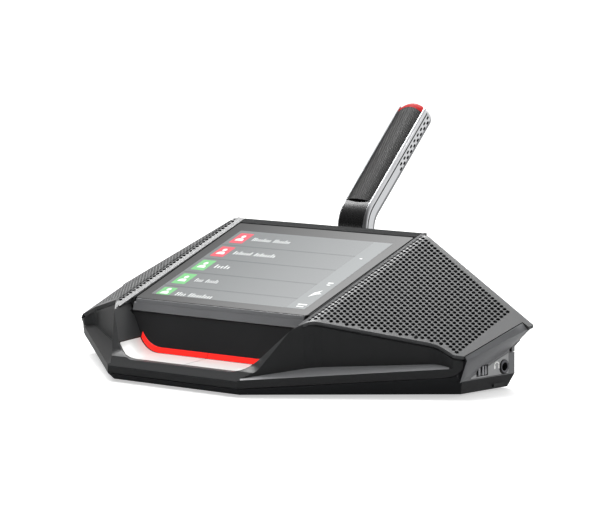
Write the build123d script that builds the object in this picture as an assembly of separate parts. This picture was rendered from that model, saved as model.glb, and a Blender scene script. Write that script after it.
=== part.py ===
from build123d import *
from math import atan2, cos, degrees, hypot, radians, sin, sqrt, tan
import os

# A table-top delegate unit: a wedge body with a tilted touch screen, two loudspeaker
# wings, a button recess in front, and a microphone plugged into the rear deck.
# Millimetres. Origin at the middle of the foot plane. Front is -Y, right is +X, up is +Z.
# Only the right-hand piece of a pair is drawn; the left-hand one is its mirror image.

# Driving dimensions: plan of the body
front_y = -69.5
front_half = 40.7
side_front_x = 120.5
side_front_y = -5.8
wing_flare = 9.0
wing_rear_y = 33.6
seam_flare = 4.9
rear_y = 69.5
rear_half = 42.0
rear_shoulder_y = 39.9
foot_height = 0.8
cutter = 400.0
overrun = 2.0

# Driving dimensions: screen and crest
screen_tilt = 21.84
glass_front_y = -37.0
glass_front_z = 35.2
glass_front_half = 54.1
glass_rear_half = 55.4
glass_length = 81.4
glass_thick = 1.6
crest_half = 61.2
crest_rise = 1.1
slope_angle = 24.81

# Driving dimensions: front fall of the collar, rim and rear deck
brow_y = -48.5
rim_inner_y = -61.5
rim_inner_z = 11.4
rim_front_z = 7.3
brow_radius = 6.0
rim_radius = 10.0
deck_edge_y = 42.0
deck_front_y = 51.0
deck_z = 60.5
deck_rear_y = 68.0
deck_fall = 1.2
rear_corner_z = 56.0
rear_foot_y = 67.0
deck_inset_share = 0.5

# Driving dimensions: seam between cover and base
seam_front_z = 3.8
seam_side_z = 9.6
seam_turn_y = -11.4
seam_rise_y = -6.0
seam_rear_z = 17.5
seam_gap = 0.3
seam_bow_share = 0.3

# Driving dimensions: walls
wall = 2.2
panel_skin = 2.0
fit_gap = 0.3

# Driving dimensions: button recess
floor_front_y = -60.0
floor_front_z = 10.5
floor_rise = 4.75
floor_half = 30.0
wing_radius = 20.0
wing_angle = 48.0
recess_height = 32.0
panel_top_y = -38.6
panel_top_z = 29.4
panel_foot_y = -44.3
panel_foot_z = 14.1
panel_thick = 1.6
panel_lap = 1.5
led_height = 2.3
led_proud = 0.3
led_split = 0.5

# Driving dimensions: side pockets
pocket_near = -3.0
pocket_near_depth = 0.6
pocket_deep = 34.0
pocket_depth = 8.3
pocket_far = 90.0
pocket_far_depth = 4.9
pocket_end = 100.5
pocket_bend = 30.0
pocket_far_bend = 12.0
ledge_near_z = 7.7
ledge_far_z = 13.3
ledge_rise_share = 0.35
pocket_round = 5.5

# Driving dimensions: loudspeaker panels
hole_pitch = 8.4
hole_radius = 3.0
hole_sides = 6
perforated_margin = 3.0
solid_strip = 11.0
speaker_radius = 20.0
speaker_crest_gap = 3.8
speaker_pocket_gap = 2.0
speaker_window_gap = 3.0
speaker_rim = 3.0
speaker_flange = 1.6
speaker_depth = 9.0
magnet_radius = 10.0
magnet_thick = 5.0
speaker_sides = 24
cone_thick = 0.8
dust_cap_radius = 6.0

# Driving dimensions: base side wall
bottom_inset = 4.5
waist_in = 2.5
waist_z = 7.4
waist_rise = 0.32
waist_top_z = 8.9
nose_out_front = 1.4
nose_down_front = 2.0
nose_out_rear = 3.5
nose_down_rear = 3.1
lip_reach = 3.6
front_taper = 3.0
strip_rear_y = 31.0
waist_lap_front = 0.1
waist_lap_rear = 2.6

# Driving dimensions: side controls
side_panel_thick = 1.2
side_panel_front_y = 2.5
side_panel_rear_y = 30.2
side_panel_low_z = 7.9
side_panel_drop = 1.2
wheel_y = 10.7
wheel_z = 11.0
wheel_radius = 9.0
wheel_proud = 0.6
wheel_thick = 4.2
wheel_rib_count = 24
rib_crest_share = 0.22
rib_root_share = 0.72
wheel_rib_depth = 0.6
wheel_gap = 0.4
spindle_radius = 1.5
running_gap = 0.05
spindle_body = 9.0
spindle_height = 2.0
jack_end = 1.5
jack_y = 26.7
jack_z = 11.1
jack_barrel_radius = 3.3
jack_bore_radius = 1.8
jack_length = 14.0
jack_body_width = 8.0
jack_body_height = 7.0
jack_proud = 0.3
barrel_past_wall = 0.5

# Driving dimensions: buttons
cap_thick = 2.0
cap_front_y = -60.6
cap_tip_x = 44.2
cap_tip_y = -57.6
cap_corner_x = 37.5
cap_rear_gap = 0.5
cap_gap = 0.35
cap_split = 0.5
cap_corner_radius = 3.0
stem_x = 18.0
stem_y = -52.5
stem_radius = 2.0
press_travel = 0.6
switch_gap = 0.15
switch_size = 6.0
switch_height = 1.6
plunger_radius = 1.2
plunger_height = 0.8
board_thick = 1.2

# Driving dimensions: screen unit
screen_gap = 0.4
screen_depth = 6.2
lip_out = 0.6
lip_under = 4.0
lip_room = 4.8
ledge_width = 4.0
display_length = 67.0
display_width = 97.5
display_thick = 3.2
display_offset = -2.0
glass_radius = 1.2

# Driving dimensions: boards, feet, screws
main_board_width = 96.0
main_board_length = 52.0
main_board_y = 8.0
main_board_thick = 1.6
post_height = 4.0
post_radius = 3.2
foot_radius = 6.0
foot_recess = 0.8
foot_x = 92.0
foot_y = 18.0
foot_front_x = 30.0
foot_front_y = -56.0
screw_x = 100.0
screw_y = 4.0
screw_front_x = 24.0
screw_front_y = -30.0
screw_radius = 1.5
screw_head_radius = 2.8
screw_head_height = 1.6
screw_length = 10.0
boss_radius = 3.4
small_sides = 12
foot_sides = 20

# Driving dimensions: rear sockets
port_width = 12.0
port_height = 9.0
port_depth = 14.0
port_pitch = 24.0
port_wall = 1.6
port_z = 10.6
rear_plate_half = 24.0

# Driving dimensions: microphone
mic_lean = 43.4
mic_y = 61.8
mic_bend_z = 70.2
mic_bend_radius = 14.0
mic_width = 18.1
mic_depth = 9.2
mic_length = 69.0
mic_back_corner = 3.0
mic_front_corner = 1.6
mic_top_corner = 6.5
mic_skin = 1.1
mic_side = 1.5
mic_front_thick = 2.4
mic_gap = 0.1
mic_ring_length = 3.6
mesh_start = 6.4
plug_depth = 9.0
plug_width = 11.0
plug_thick = 4.0
plug_gap = 0.3
socket_wall = 2.4
socket_flange = 1.2
socket_lip = 1.4
socket_depth = 13.0
capsule_radius = 3.0
capsule_thick = 2.0
capsule_place_shares = (0.45, 0.75)

# Places along the sides that follow the front corner of the wing
wing_rear_x = side_front_x + wing_flare
seam_rear_x = side_front_x + seam_flare
waist_x = side_front_x - waist_in


def mirrored(piece):
    """The left-hand copy of a right-hand piece."""
    return mirror(piece, about=Plane.YZ)


def below(plane):
    """One large block that fills everything behind a plane."""
    return plane * Box(cutter, cutter, cutter, align=(Align.CENTER, Align.CENTER, Align.MAX))


def block(x0, x1, y0, y1, z0, z1):
    """A block between two corners."""
    box = Box(x1 - x0, y1 - y0, z1 - z0, align=(Align.MIN, Align.MIN, Align.MIN))
    return Pos(x0, y0, z0) * box


def across(points, radii=None):
    """A profile of (y, z) points carried right across the body, with rounded corners."""
    face = make_face(Polyline(*points, close=True))
    for (y, z), radius in (radii or {}).items():
        corner = face.vertices().sort_by_distance((y, z, 0))[0]
        face = fillet(corner, radius)
    side_view = Plane(origin=(-cutter / 2, 0, 0), x_dir=(0, 1, 0), z_dir=(1, 0, 0))
    return extrude(side_view * face, cutter)


os.makedirs("parts", exist_ok=True)


def save(node, piece):
    """Write one named piece."""
    export_step(piece, os.path.join("parts", node + ".step"))


# Screen plane and the two slopes of the wings
glass_grade = tan(radians(screen_tilt))
crest_z = glass_front_z + crest_rise / cos(radians(screen_tilt))
slope_normal = (sin(radians(slope_angle)),
                -cos(radians(slope_angle)) * sin(radians(screen_tilt)),
                cos(radians(slope_angle)) * cos(radians(screen_tilt)))


def crest_height(y, drop=0.0):
    """Height of the crest line at y."""
    return crest_z + (y - glass_front_y) * glass_grade - drop / cos(radians(screen_tilt))


def slope_plane(drop=0.0):
    """The plane of the right-hand wing, lowered square to itself."""
    on_crest = Vector(crest_half, glass_front_y, crest_height(glass_front_y))
    normal = Vector(*slope_normal)
    return Plane(origin=on_crest - normal * drop, z_dir=normal)


def slope_height(x, y, drop=0.0):
    """Height of the right-hand wing at a place in plan."""
    plane = slope_plane(drop)
    o, n = plane.origin, plane.z_dir
    return o.Z - (n.X * (x - o.X) + n.Y * (y - o.Y)) / n.Z


# Where the waist of the base meets the diagonal front and the rear wall
front_grade = (side_front_y - front_y) / (side_front_x - front_half)
on_waist_y = front_y + (waist_x - front_half) * front_grade
rear_grade = (rear_shoulder_y - wing_rear_y) / (wing_rear_x - crest_half)
waist_rear_y = wing_rear_y + (wing_rear_x - waist_x) * rear_grade


# Plan outline of the cover, rounded at its upright corners
def plan_outline(inset=0.0):
    half = [(0, front_y), (front_half, front_y), (side_front_x, side_front_y),
            (wing_rear_x, wing_rear_y), (crest_half, rear_shoulder_y),
            (rear_half, rear_y), (0, rear_y)]
    face = make_face(Polyline(*half, close=True))
    face = face + mirror(face, about=Plane.YZ)
    return offset(face, -inset, kind=Kind.INTERSECTION) if inset else face


def roof(drop=0.0, inset=0.0):
    """Everything under the brow, crest plane, rear deck and the two slopes."""
    low = -overrun
    brow = (brow_y + inset, crest_height(brow_y + inset, drop))
    rim = (rim_inner_y + inset, rim_inner_z - inset)
    deck_inset = inset * deck_inset_share
    deck_edge = (deck_edge_y - deck_inset, crest_height(deck_edge_y - deck_inset, drop))
    deck_front = (deck_front_y - deck_inset, deck_z - inset)
    points = [(front_y + inset, low), (front_y + inset, rim_front_z - inset), rim, brow,
              deck_edge, deck_front, (deck_rear_y - inset, deck_z - deck_fall - inset),
              (rear_y - inset, rear_corner_z), (rear_foot_y - inset, low)]
    radii = {rim: rim_radius, brow: brow_radius, deck_front: brow_radius}
    form = across(points, radii)
    cut = below(slope_plane(drop))
    return form & cut & mirrored(cut)


def dip_between_crests():
    """The shallow trough above the glass, with a flank that rises to each crest."""
    trough_side = glass_rear_half + 2 * screen_gap
    half = [(trough_side, 0), (crest_half, -crest_rise), (cutter, -crest_rise), (cutter, -cutter)]
    face = make_face(Polyline((0, 0), *half, (0, -cutter), close=True))
    run = Vector(0, cos(radians(screen_tilt)), sin(radians(screen_tilt)))
    start = Vector(0, glass_front_y, glass_front_z) - run * cutter / 2
    bar = extrude(Plane(origin=start, x_dir=(1, 0, 0), z_dir=run) * face, cutter)
    return bar + mirror(bar, about=Plane.YZ)


def body_form(drop=0.0, inset=0.0):
    height = crest_height(deck_edge_y) + overrun
    column = Pos(0, 0, -overrun) * extrude(plan_outline(inset), height + overrun)
    return column & roof(drop, inset)


# Seam profile between cover and base, seen from the side
def under_seam(gap=0.0):
    """Everything under the seam, lowered by a gap."""
    low = -2 * overrun
    start = (front_y - overrun, seam_front_z - gap)
    turn = (seam_turn_y, seam_side_z - gap)
    rise = (seam_rise_y + gap, seam_rear_z - gap - overrun)
    top = (seam_rise_y + gap, seam_rear_z - gap)
    far = rear_y + overrun
    arc_mid = (seam_rise_y + gap - (seam_rise_y - seam_turn_y) * seam_bow_share,
               seam_side_z - gap + (rise[1] - turn[1]) * seam_bow_share)
    edge = [Line(start, turn), ThreePointArc(turn, arc_mid, rise), Line(rise, top),
            Line(top, (far, top[1])), Line((far, top[1]), (far, low)),
            Line((far, low), (start[0], low)), Line((start[0], low), start)]
    side_view = Plane(origin=(-cutter / 2, 0, 0), x_dir=(0, 1, 0), z_dir=(1, 0, 0))
    return extrude(side_view * make_face(edge), cutter)


# Button recess: a dish with a flat floor and rising ends, drawn along the floor
floor_angle = radians(floor_rise)
recess_plane = Plane(origin=(0, floor_front_y, floor_front_z), x_dir=(1, 0, 0),
                     z_dir=(0, -cos(floor_angle), -sin(floor_angle)))


def dish_face(lift=0.0, grow=0.0):
    turn = radians(wing_angle)
    radius = wing_radius + grow
    end = (floor_half + radius * sin(turn), wing_radius - radius * cos(turn) + lift)
    mid = (floor_half + radius * sin(turn / 2), wing_radius - radius * cos(turn / 2) + lift)
    floor = lift - grow
    top = (end[0] + (recess_height - end[1]) / tan(turn), recess_height)
    edge = [Line((0, floor), (floor_half, floor)), ThreePointArc((floor_half, floor), mid, end),
            Line(end, top), Line(top, (0, recess_height)), Line((0, recess_height), (0, floor))]
    face = make_face(edge)
    return face + mirror(face, about=Plane.YZ)


def dish(lift=0.0, grow=0.0):
    """The recess as a long bar, lifted or grown."""
    face = dish_face(lift, grow)
    return (extrude(recess_plane * face, -front_y / 2)
            + extrude(recess_plane * face, -(panel_top_y - floor_front_y + overrun * 4)))


panel_angle = atan2(panel_top_z - panel_foot_z, panel_top_y - panel_foot_y)
panel_plane = Plane(origin=(0, panel_foot_y, panel_foot_z), x_dir=(1, 0, 0),
                    z_dir=(0, -sin(panel_angle), cos(panel_angle)))


def before_panel(shift=0.0):
    """Everything in front of the recess panel."""
    plane = panel_plane.offset(shift)
    return plane * Box(cutter, cutter, cutter, align=(Align.CENTER, Align.CENTER, Align.MIN))


# Side pockets, drawn on the upright plane of the diagonal front
diagonal = hypot(side_front_x - front_half, side_front_y - front_y)
along = Vector((side_front_x - front_half) / diagonal, (side_front_y - front_y) / diagonal, 0)
outward = Vector(along.Y, -along.X, 0)
diagonal_start = Vector(front_half, front_y, 0)


def on_diagonal(distance, depth):
    """A place in plan, measured along the diagonal front and into the body."""
    spot = diagonal_start + along * distance - outward * depth
    return (spot.X, spot.Y)


def pocket(grow=0.0):
    """The space of the right-hand pocket; grown, it is the block that carries its wall."""
    plan = [on_diagonal(pocket_near - grow, pocket_near_depth + grow),
            on_diagonal(pocket_deep, pocket_depth + grow),
            on_diagonal(pocket_far, pocket_far_depth + grow),
            on_diagonal(pocket_end, -overrun),
            on_diagonal(pocket_end, -overrun * 6),
            on_diagonal(pocket_near - grow, -overrun * 6)]
    face = make_face(Polyline(*plan, close=True))
    bend = face.vertices().sort_by_distance((*plan[1], 0))[0]
    face = fillet(bend, pocket_bend)
    bend = face.vertices().sort_by_distance((*plan[2], 0))[0]
    face = fillet(bend, pocket_far_bend)
    column = extrude(face, cutter / 4)
    sky = cutter / 4
    fall = (ledge_far_z - ledge_near_z) / pocket_far
    near = (pocket_near - grow * 2, ledge_near_z + fall * (pocket_near - grow * 2) - grow)
    far = (pocket_end, ledge_near_z + fall * pocket_end - grow)
    front_view = Plane(origin=diagonal_start + outward * overrun * 3,
                       x_dir=along, z_dir=outward)
    side = make_face(Polyline(near, far, (far[0], sky), (near[0], sky), close=True))
    corner = side.vertices().sort_by_distance((*far, 0))[0]
    side = fillet(corner, pocket_round)
    run = Vector(0, 0, ledge_rise_share) - outward
    drop = Vector(0, 0, -ledge_rise_share) * overrun * 3
    wedge = Pos(*drop) * extrude(front_view * side, cutter / 10, dir=run.normalized())
    return column & wedge


# Top cover, with the grille panels parted from it
outer = body_form() - dip_between_crests()
pocket_right = pocket()
pocket_both = pocket_right + mirrored(pocket_right)
pocket_block = pocket(wall)
pocket_blocks = pocket_block + mirrored(pocket_block)
recess = dish() & before_panel()
screen_side = glass_rear_half + 2 * screen_gap
crest_front_y = brow_y + brow_radius / 2
seam_angle_run = (seam_rear_x - side_front_x) / (wing_rear_y - side_front_y)


def seam_x(y):
    """Distance of the side seam from the middle plane."""
    return side_front_x + (y - side_front_y) * seam_angle_run


# What lies outside the side seam belongs to the base
strip_plan = [(side_front_x, side_front_y), (seam_x(strip_rear_y), strip_rear_y),
              (cutter / 2, strip_rear_y), (cutter / 2, side_front_y)]
strip_zone = extrude(make_face(Polyline(*strip_plan, close=True)), cutter / 4)
outer = outer - strip_zone - mirrored(strip_zone)

grille_zone = block(screen_side, cutter / 2, crest_front_y, rear_shoulder_y, 0, cutter / 4)
skin = (outer & grille_zone) - roof(panel_skin)
grille_blank = skin - pocket_right

# Perforated field, in the plane of the wing
wing_plane = slope_plane(panel_skin + overrun)
wing_frame = Plane(origin=wing_plane.origin, x_dir=wing_plane.z_dir.cross(Vector(
    0, cos(radians(screen_tilt)), sin(radians(screen_tilt)))) * -1, z_dir=wing_plane.z_dir)


def in_wing(x, y):
    """Coordinates in the wing's own plane of a place in plan."""
    spot = wing_frame.to_local_coords(Vector(x, y, slope_height(x, y, panel_skin + overrun)))
    return spot.X, spot.Y


field_corners = [in_wing(crest_half, crest_front_y + overrun),
                 in_wing(*on_diagonal(pocket_far, pocket_far_depth)),
                 in_wing(wing_rear_x, wing_rear_y), in_wing(crest_half, rear_shoulder_y)]
field_corners[1] = (field_corners[1][0] - solid_strip + perforated_margin, field_corners[1][1])
field_corners[2] = (field_corners[2][0] - solid_strip, field_corners[2][1])
field = offset(make_face(Polyline(*field_corners, close=True)), -perforated_margin,
               kind=Kind.INTERSECTION)
field_box = field.bounding_box()
row_step = hole_pitch * sqrt(3) / 2
rows = int((field_box.max.X - field_box.min.X) / row_step)
steps = int((field_box.max.Y - field_box.min.Y) / hole_pitch) + 1
holes = []
for row in range(rows + 1):
    for step in range(steps + 1):
        shift = hole_pitch / 2 * (row % 2)
        spot = (field_box.min.X + row * row_step + hole_radius,
                field_box.min.Y + step * hole_pitch + shift)
        hole = Pos(*spot) * RegularPolygon(hole_radius, hole_sides)
        inside = all(field.is_inside(Vector(c.X, c.Y, 0)) for c in hole.vertices())
        if inside:
            holes.append(hole)
drills = [extrude(wing_frame * hole, panel_skin + overrun * 2) for hole in holes]
grille_right = grille_blank - drills

# Cover shell, with the walls of the recess and the pockets
inner = body_form(panel_skin + wall, wall)
cover = outer - inner
cover = cover + (pocket_blocks & outer)
cover = cover + (dish(0.0, wall) & before_panel() & outer)

# Well that carries the screen unit, in the plane of the glass
tilt = radians(screen_tilt)
glass_plane = Plane(origin=(0, glass_front_y, glass_front_z), x_dir=(1, 0, 0),
                    z_dir=(0, -sin(tilt), cos(tilt)))


def glass_outline(grow=0.0, front=0.0):
    """Outline of the glass, grown all round and pushed forward or back at its front."""
    half = [(-glass_front_half - grow, front - grow), (glass_front_half + grow, front - grow),
            (glass_rear_half + grow, glass_length + grow), (-glass_rear_half - grow, glass_length + grow)]
    return make_face(Polyline(*half, close=True))


def glass_slab(face, low, high):
    """A slab on the glass plane between two depths."""
    return extrude(glass_plane.offset(low) * face, high - low)


well_floor = -screen_depth - wall
well = glass_slab(glass_outline(screen_gap + wall, screen_depth), well_floor, 0) & outer
cover = cover + well
cover = cover - glass_slab(glass_outline(screen_gap, -lip_room), -screen_depth - screen_gap, cutter / 10)
cover = cover - glass_slab(glass_outline(-ledge_width, -screen_depth * 2 + ledge_width),
                           well_floor - overrun, 0)
cover = cover - pocket_both - recess - under_seam(0.0)

# Room for the base strip under the wings
room_front_y = side_front_y + fit_gap
room_rear_y = wing_rear_y + overrun * 2
wing_room_plan = [(waist_x - wall - fit_gap, room_front_y), (waist_x - wall - fit_gap, strip_rear_y),
                  (seam_x(wing_rear_y) - lip_reach - fit_gap, strip_rear_y),
                  (seam_x(wing_rear_y) - lip_reach - fit_gap, room_rear_y),
                  (cutter / 2, room_rear_y), (cutter / 2, room_front_y)]
wing_room = (extrude(make_face(Polyline(*wing_room_plan, close=True)), cutter / 4)
             & below(slope_plane(panel_skin)))
cover = cover - wing_room - mirrored(wing_room)

# The rear wall of each wing follows the underside of the strip out to its tip
waist_rear_z = waist_top_z + waist_rise * wing_rear_y
nose_rear_x = seam_rear_x + nose_out_rear
nose_rear_z = slope_height(seam_rear_x, wing_rear_y) - nose_down_rear
under_wing = make_face(Polyline((waist_x, 0), (waist_x, waist_rear_z), (nose_rear_x, nose_rear_z),
                                (nose_rear_x, 0), close=True))
rear_view = Plane(origin=(0, rear_y, 0), x_dir=(1, 0, 0), z_dir=(0, -1, 0))
under_wing_room = extrude(rear_view * under_wing, rear_y - strip_rear_y)
cover = cover - under_wing_room - mirrored(under_wing_room)
cover = cover - skin - mirrored(skin)

# Opening for the two button caps, and the caps themselves
cap_plan = [(cap_split / 2, cap_front_y), (cap_corner_x, cap_front_y), (cap_tip_x, cap_tip_y),
            (cap_tip_x, panel_foot_y + overrun * 2), (cap_split / 2, panel_foot_y + overrun * 2)]
cap_face = make_face(Polyline(*cap_plan, close=True))
corner = cap_face.vertices().sort_by_distance((*cap_plan[1], 0))[0]
cap_face = fillet(corner, cap_corner_radius)
opening_plan = [(-cap_x, y) for cap_x, y in reversed(cap_plan[1:4])] + cap_plan[1:4]
opening_face = offset(make_face(Polyline(*opening_plan, close=True)), cap_gap, kind=Kind.INTERSECTION)
cover = cover - extrude(opening_face, recess_height)

led_clear = led_proud + cap_rear_gap
cap = (dish(-cap_thick) - dish()) & extrude(cap_face, recess_height) & before_panel(led_clear)
stem_axis = Vector(0, -sin(floor_angle), cos(floor_angle))
board_top = foot_height + wall + board_thick
plunger_top = board_top + switch_height + plunger_height
stem_low = plunger_top + press_travel + switch_gap
cap_under = floor_front_z + (stem_y - floor_front_y) * tan(floor_angle) - cap_thick
stem_plane = Plane(origin=(stem_x, stem_y, stem_low), z_dir=stem_axis)
stem_face = RegularPolygon(stem_radius, small_sides)
stem = extrude(stem_plane * stem_face, cap_under - stem_low + cap_thick / 2)
mic_button = cap + stem
save("mic_button_right", mic_button)
save("mic_button_left", mirrored(mic_button))

# Recess panel with the two light strips at its foot
front_side = (Align.CENTER, Align.CENTER, Align.MAX)
panel_slab = panel_plane * Box(cutter, cutter, panel_thick, align=front_side)
led_slab = panel_plane.offset(led_proud) * Box(cutter, cutter, panel_thick + led_proud, align=front_side)
bar_length = panel_top_y - floor_front_y + overrun * 6
recess_bar = extrude(recess_plane * dish_face(), -bar_length)
raised_bar = extrude(recess_plane * dish_face(led_height), -bar_length)
carrier_bar = extrude(recess_plane * dish_face(0.0, panel_lap), -bar_length)
led_bar = (recess_bar - raised_bar) & block(led_split / 2, cap_tip_x, front_y, 0, 0, cutter / 4)
led_strip = led_slab & led_bar
save("led_strip_right", led_strip)
save("led_strip_left", mirrored(led_strip))
panel_low = Pos(0, 0, panel_top_z - fit_gap) * Box(cutter, cutter, cutter, align=front_side)
recess_panel = (panel_slab & carrier_bar & panel_low) - led_strip - mirrored(led_strip)
save("recess_panel", recess_panel)

# Screen unit: housing with the front lip, display and glass
rear_edge_y = glass_front_y + glass_length * cos(tilt)
under_front_y = panel_top_y + lip_under * 2


def glass_height(y):
    """Height of the glass plane at y."""
    return glass_front_z + (y - glass_front_y) * glass_grade


lip_side = [(glass_front_y, glass_front_z), (panel_top_y - lip_out, panel_top_z),
            (panel_top_y + lip_under, panel_top_z),
            (under_front_y, glass_height(under_front_y) - screen_depth / cos(tilt)),
            (rear_edge_y, glass_height(rear_edge_y) - screen_depth / cos(tilt)),
            (rear_edge_y, glass_height(rear_edge_y))]
housing_room = glass_slab(glass_outline(0.0, -screen_depth * 2), -screen_depth * 2, -glass_thick)
housing = across(lip_side) & housing_room
display_mid = (glass_length + display_offset) / 2
display_plane = glass_plane * Pos(0, display_mid, -glass_thick)
display_room = extrude(display_plane * Rectangle(display_width + 2 * fit_gap, display_length + 2 * fit_gap),
                       -display_thick - fit_gap)
housing = housing - display_room
save("screen_housing", housing)
display = extrude(display_plane * Rectangle(display_width, display_length), -display_thick)
save("display_module", display)
glass = glass_slab(glass_outline(), -glass_thick, 0)
upright = glass.edges().filter_by(lambda e: abs(e.length - glass_thick) < glass_thick / 10)
glass = fillet(upright, glass_radius)
save("touch_glass", glass)

# Microphone socket in the rear deck
deck_top = deck_z - deck_fall
socket_x = plug_width + 2 * (plug_gap + socket_wall)
socket_y = plug_thick + 2 * (plug_gap + socket_wall)
mic_at = Pos(0, mic_y, 0)
flange_room = mic_at * Pos(0, 0, deck_top) * extrude(
    RectangleRounded(socket_x + 2 * (socket_lip + fit_gap), socket_y + 2 * (socket_lip + fit_gap),
                     mic_back_corner), overrun * 2)
body_room = mic_at * Pos(0, 0, deck_top - socket_depth) * extrude(
    Rectangle(socket_x + fit_gap, socket_y + fit_gap), socket_depth + overrun)
cover = cover - flange_room - body_room
socket_face = Rectangle(socket_x, socket_y)
flange_face = RectangleRounded(socket_x + 2 * socket_lip, socket_y + 2 * socket_lip, mic_back_corner)
socket = (mic_at * Pos(0, 0, deck_top - socket_depth) * extrude(socket_face, socket_depth)
          + mic_at * Pos(0, 0, deck_top) * extrude(flange_face, socket_flange))
socket_top = deck_top + socket_flange
plug_low = socket_top - plug_depth
socket = socket - mic_at * Pos(0, 0, plug_low - plug_gap) * extrude(
    Rectangle(plug_width + 2 * plug_gap, plug_thick + 2 * plug_gap), cutter / 10)
save("mic_socket", socket)

# Microphone: one section carried up the neck, round the bend and along the leaning body
lean = radians(mic_lean)
mic_low = socket_top + fit_gap
bend_run = mic_bend_radius * tan(lean / 2)
neck_top = mic_bend_z - bend_run
bend_centre_y = mic_y + mic_bend_radius


def mic_run(face):
    """A section face swept up the neck, the bend and the leaning body."""
    foot = Plane(origin=(0, mic_y, mic_low), x_dir=(1, 0, 0), z_dir=(0, 0, 1))
    neck = extrude(foot * face, neck_top - mic_low)
    bend_axis = Axis((0, bend_centre_y, neck_top), (-1, 0, 0))
    bend_foot = Plane(origin=(0, mic_y, neck_top), x_dir=(1, 0, 0), z_dir=(0, 0, 1))
    bend = revolve(bend_foot * face, axis=bend_axis, revolution_arc=mic_lean)
    body_foot = Plane(origin=(0, mic_y + bend_run * sin(lean), mic_bend_z + bend_run * cos(lean)),
                      x_dir=(1, 0, 0), z_dir=(0, sin(lean), cos(lean)))
    body = extrude(body_foot * face, mic_length - bend_run)
    return neck + bend + body


mic_plane = Plane(origin=(0, mic_y, mic_bend_z), x_dir=(1, 0, 0), z_dir=(0, sin(lean), cos(lean)))
mic_face = Rectangle(mic_width, mic_depth)
backs = mic_face.vertices().filter_by(lambda v: v.Y > 0)
mic_face = fillet(backs, mic_back_corner)
fronts = mic_face.vertices().filter_by(lambda v: v.Y < -mic_depth / 4)
mic_face = fillet(fronts, mic_front_corner)
front_strip = Pos(0, -mic_depth / 2) * Rectangle(
    mic_width - 2 * mic_side, 2 * mic_front_thick)
front_face = mic_face & front_strip
core_face = Pos(0, (mic_front_thick - mic_skin + mic_gap) / 2) * Rectangle(
    mic_width - 2 * (mic_skin + mic_side / 2), mic_depth - mic_skin - mic_front_thick - mic_gap)
shell_face = mic_face - Pos(0, -mic_depth / 2) * Rectangle(
    mic_width - 2 * (mic_side - mic_gap), 2 * (mic_front_thick + mic_gap)) - core_face


def crowned(piece):
    """The leaning end rounded at its two upper corners."""
    end = mic_plane * (Pos(0, 0, mic_length) * Rot(90, 0, 0) * extrude(
        Pos(0, -mic_length * 3 / 2) * RectangleRounded(mic_width + fit_gap, mic_length * 3, mic_top_corner),
        mic_depth, both=True))
    return piece & end


mic_shell = crowned(mic_run(shell_face) + mic_plane * Pos(0, 0, mic_length - mic_skin) * extrude(
    core_face, mic_skin))
save("mic_shell", mic_shell)
front_run = crowned(mic_run(front_face))


def mic_part(start, end):
    """The stretch of space between two places along the leaning axis."""
    span = mic_plane * Pos(0, 0, start) * Box(
        cutter, cutter, end - start, align=(Align.CENTER, Align.CENTER, Align.MIN))
    return span


mesh_end = mic_length - mic_ring_length
save("mic_neck_cover", front_run & mic_part(-cutter, mesh_start - mic_gap))
save("mic_grille", front_run & mic_part(mesh_start, mesh_end - mic_gap))
save("mic_light_ring", front_run & mic_part(mesh_end, cutter))
plug_height = plug_depth + fit_gap + plug_gap
plug = mic_at * Pos(0, 0, plug_low) * extrude(Rectangle(plug_width, plug_thick), plug_height)
plug_core = mic_run(core_face) & mic_at * Pos(0, 0, plug_low) * Box(
    cutter, cutter, neck_top - plug_low, align=(Align.CENTER, Align.CENTER, Align.MIN))
save("mic_plug", plug + plug_core)
capsules = [mic_plane * Pos(0, -mic_depth / 2 + mic_front_thick, mic_length * share) * Rot(-90, 0, 0)
            * extrude(RegularPolygon(capsule_radius, small_sides), capsule_thick)
            for share in capsule_place_shares]
save("mic_capsules", Compound(capsules))

# Base housing: a tray whose front leans in towards the foot, with side walls that
# turn out into a strip under the wings
base_half = [(0, front_y), (front_half, front_y), (waist_x, on_waist_y), (waist_x, waist_rear_y),
             (crest_half, rear_shoulder_y), (rear_half, rear_y), (0, rear_y)]


def base_outline(inset=0.0):
    face = make_face(Polyline(*base_half, close=True))
    face = face + mirror(face, about=Plane.YZ)
    return offset(face, -inset, kind=Kind.INTERSECTION) if inset else face


def base_form(inset=0.0, floor=foot_height):
    """The tray: under the seam, with its front, diagonal and side faces leaning in."""
    form = Pos(0, 0, floor) * extrude(base_outline(inset), seam_rear_z)
    front = Plane(origin=(0, front_y + inset, seam_front_z), z_dir=(
        0, foot_height - seam_front_z, -front_taper))
    rise = Vector(along.X, along.Y, (seam_side_z - seam_front_z) / pocket_far)
    seam_corner = diagonal_start - outward * inset + Vector(0, 0, seam_front_z)
    foot_corner = diagonal_start - outward * (inset + front_taper) + Vector(0, 0, foot_height)
    slant = Plane(origin=seam_corner, z_dir=(foot_corner - seam_corner).cross(rise).normalized())
    side = Plane(origin=(waist_x - inset, 0, waist_z), z_dir=(waist_z - foot_height, 0, -bottom_inset))
    form = form & below(front) & below(slant) & mirrored(below(slant))
    return form & below(side) & mirrored(below(side))


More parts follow.
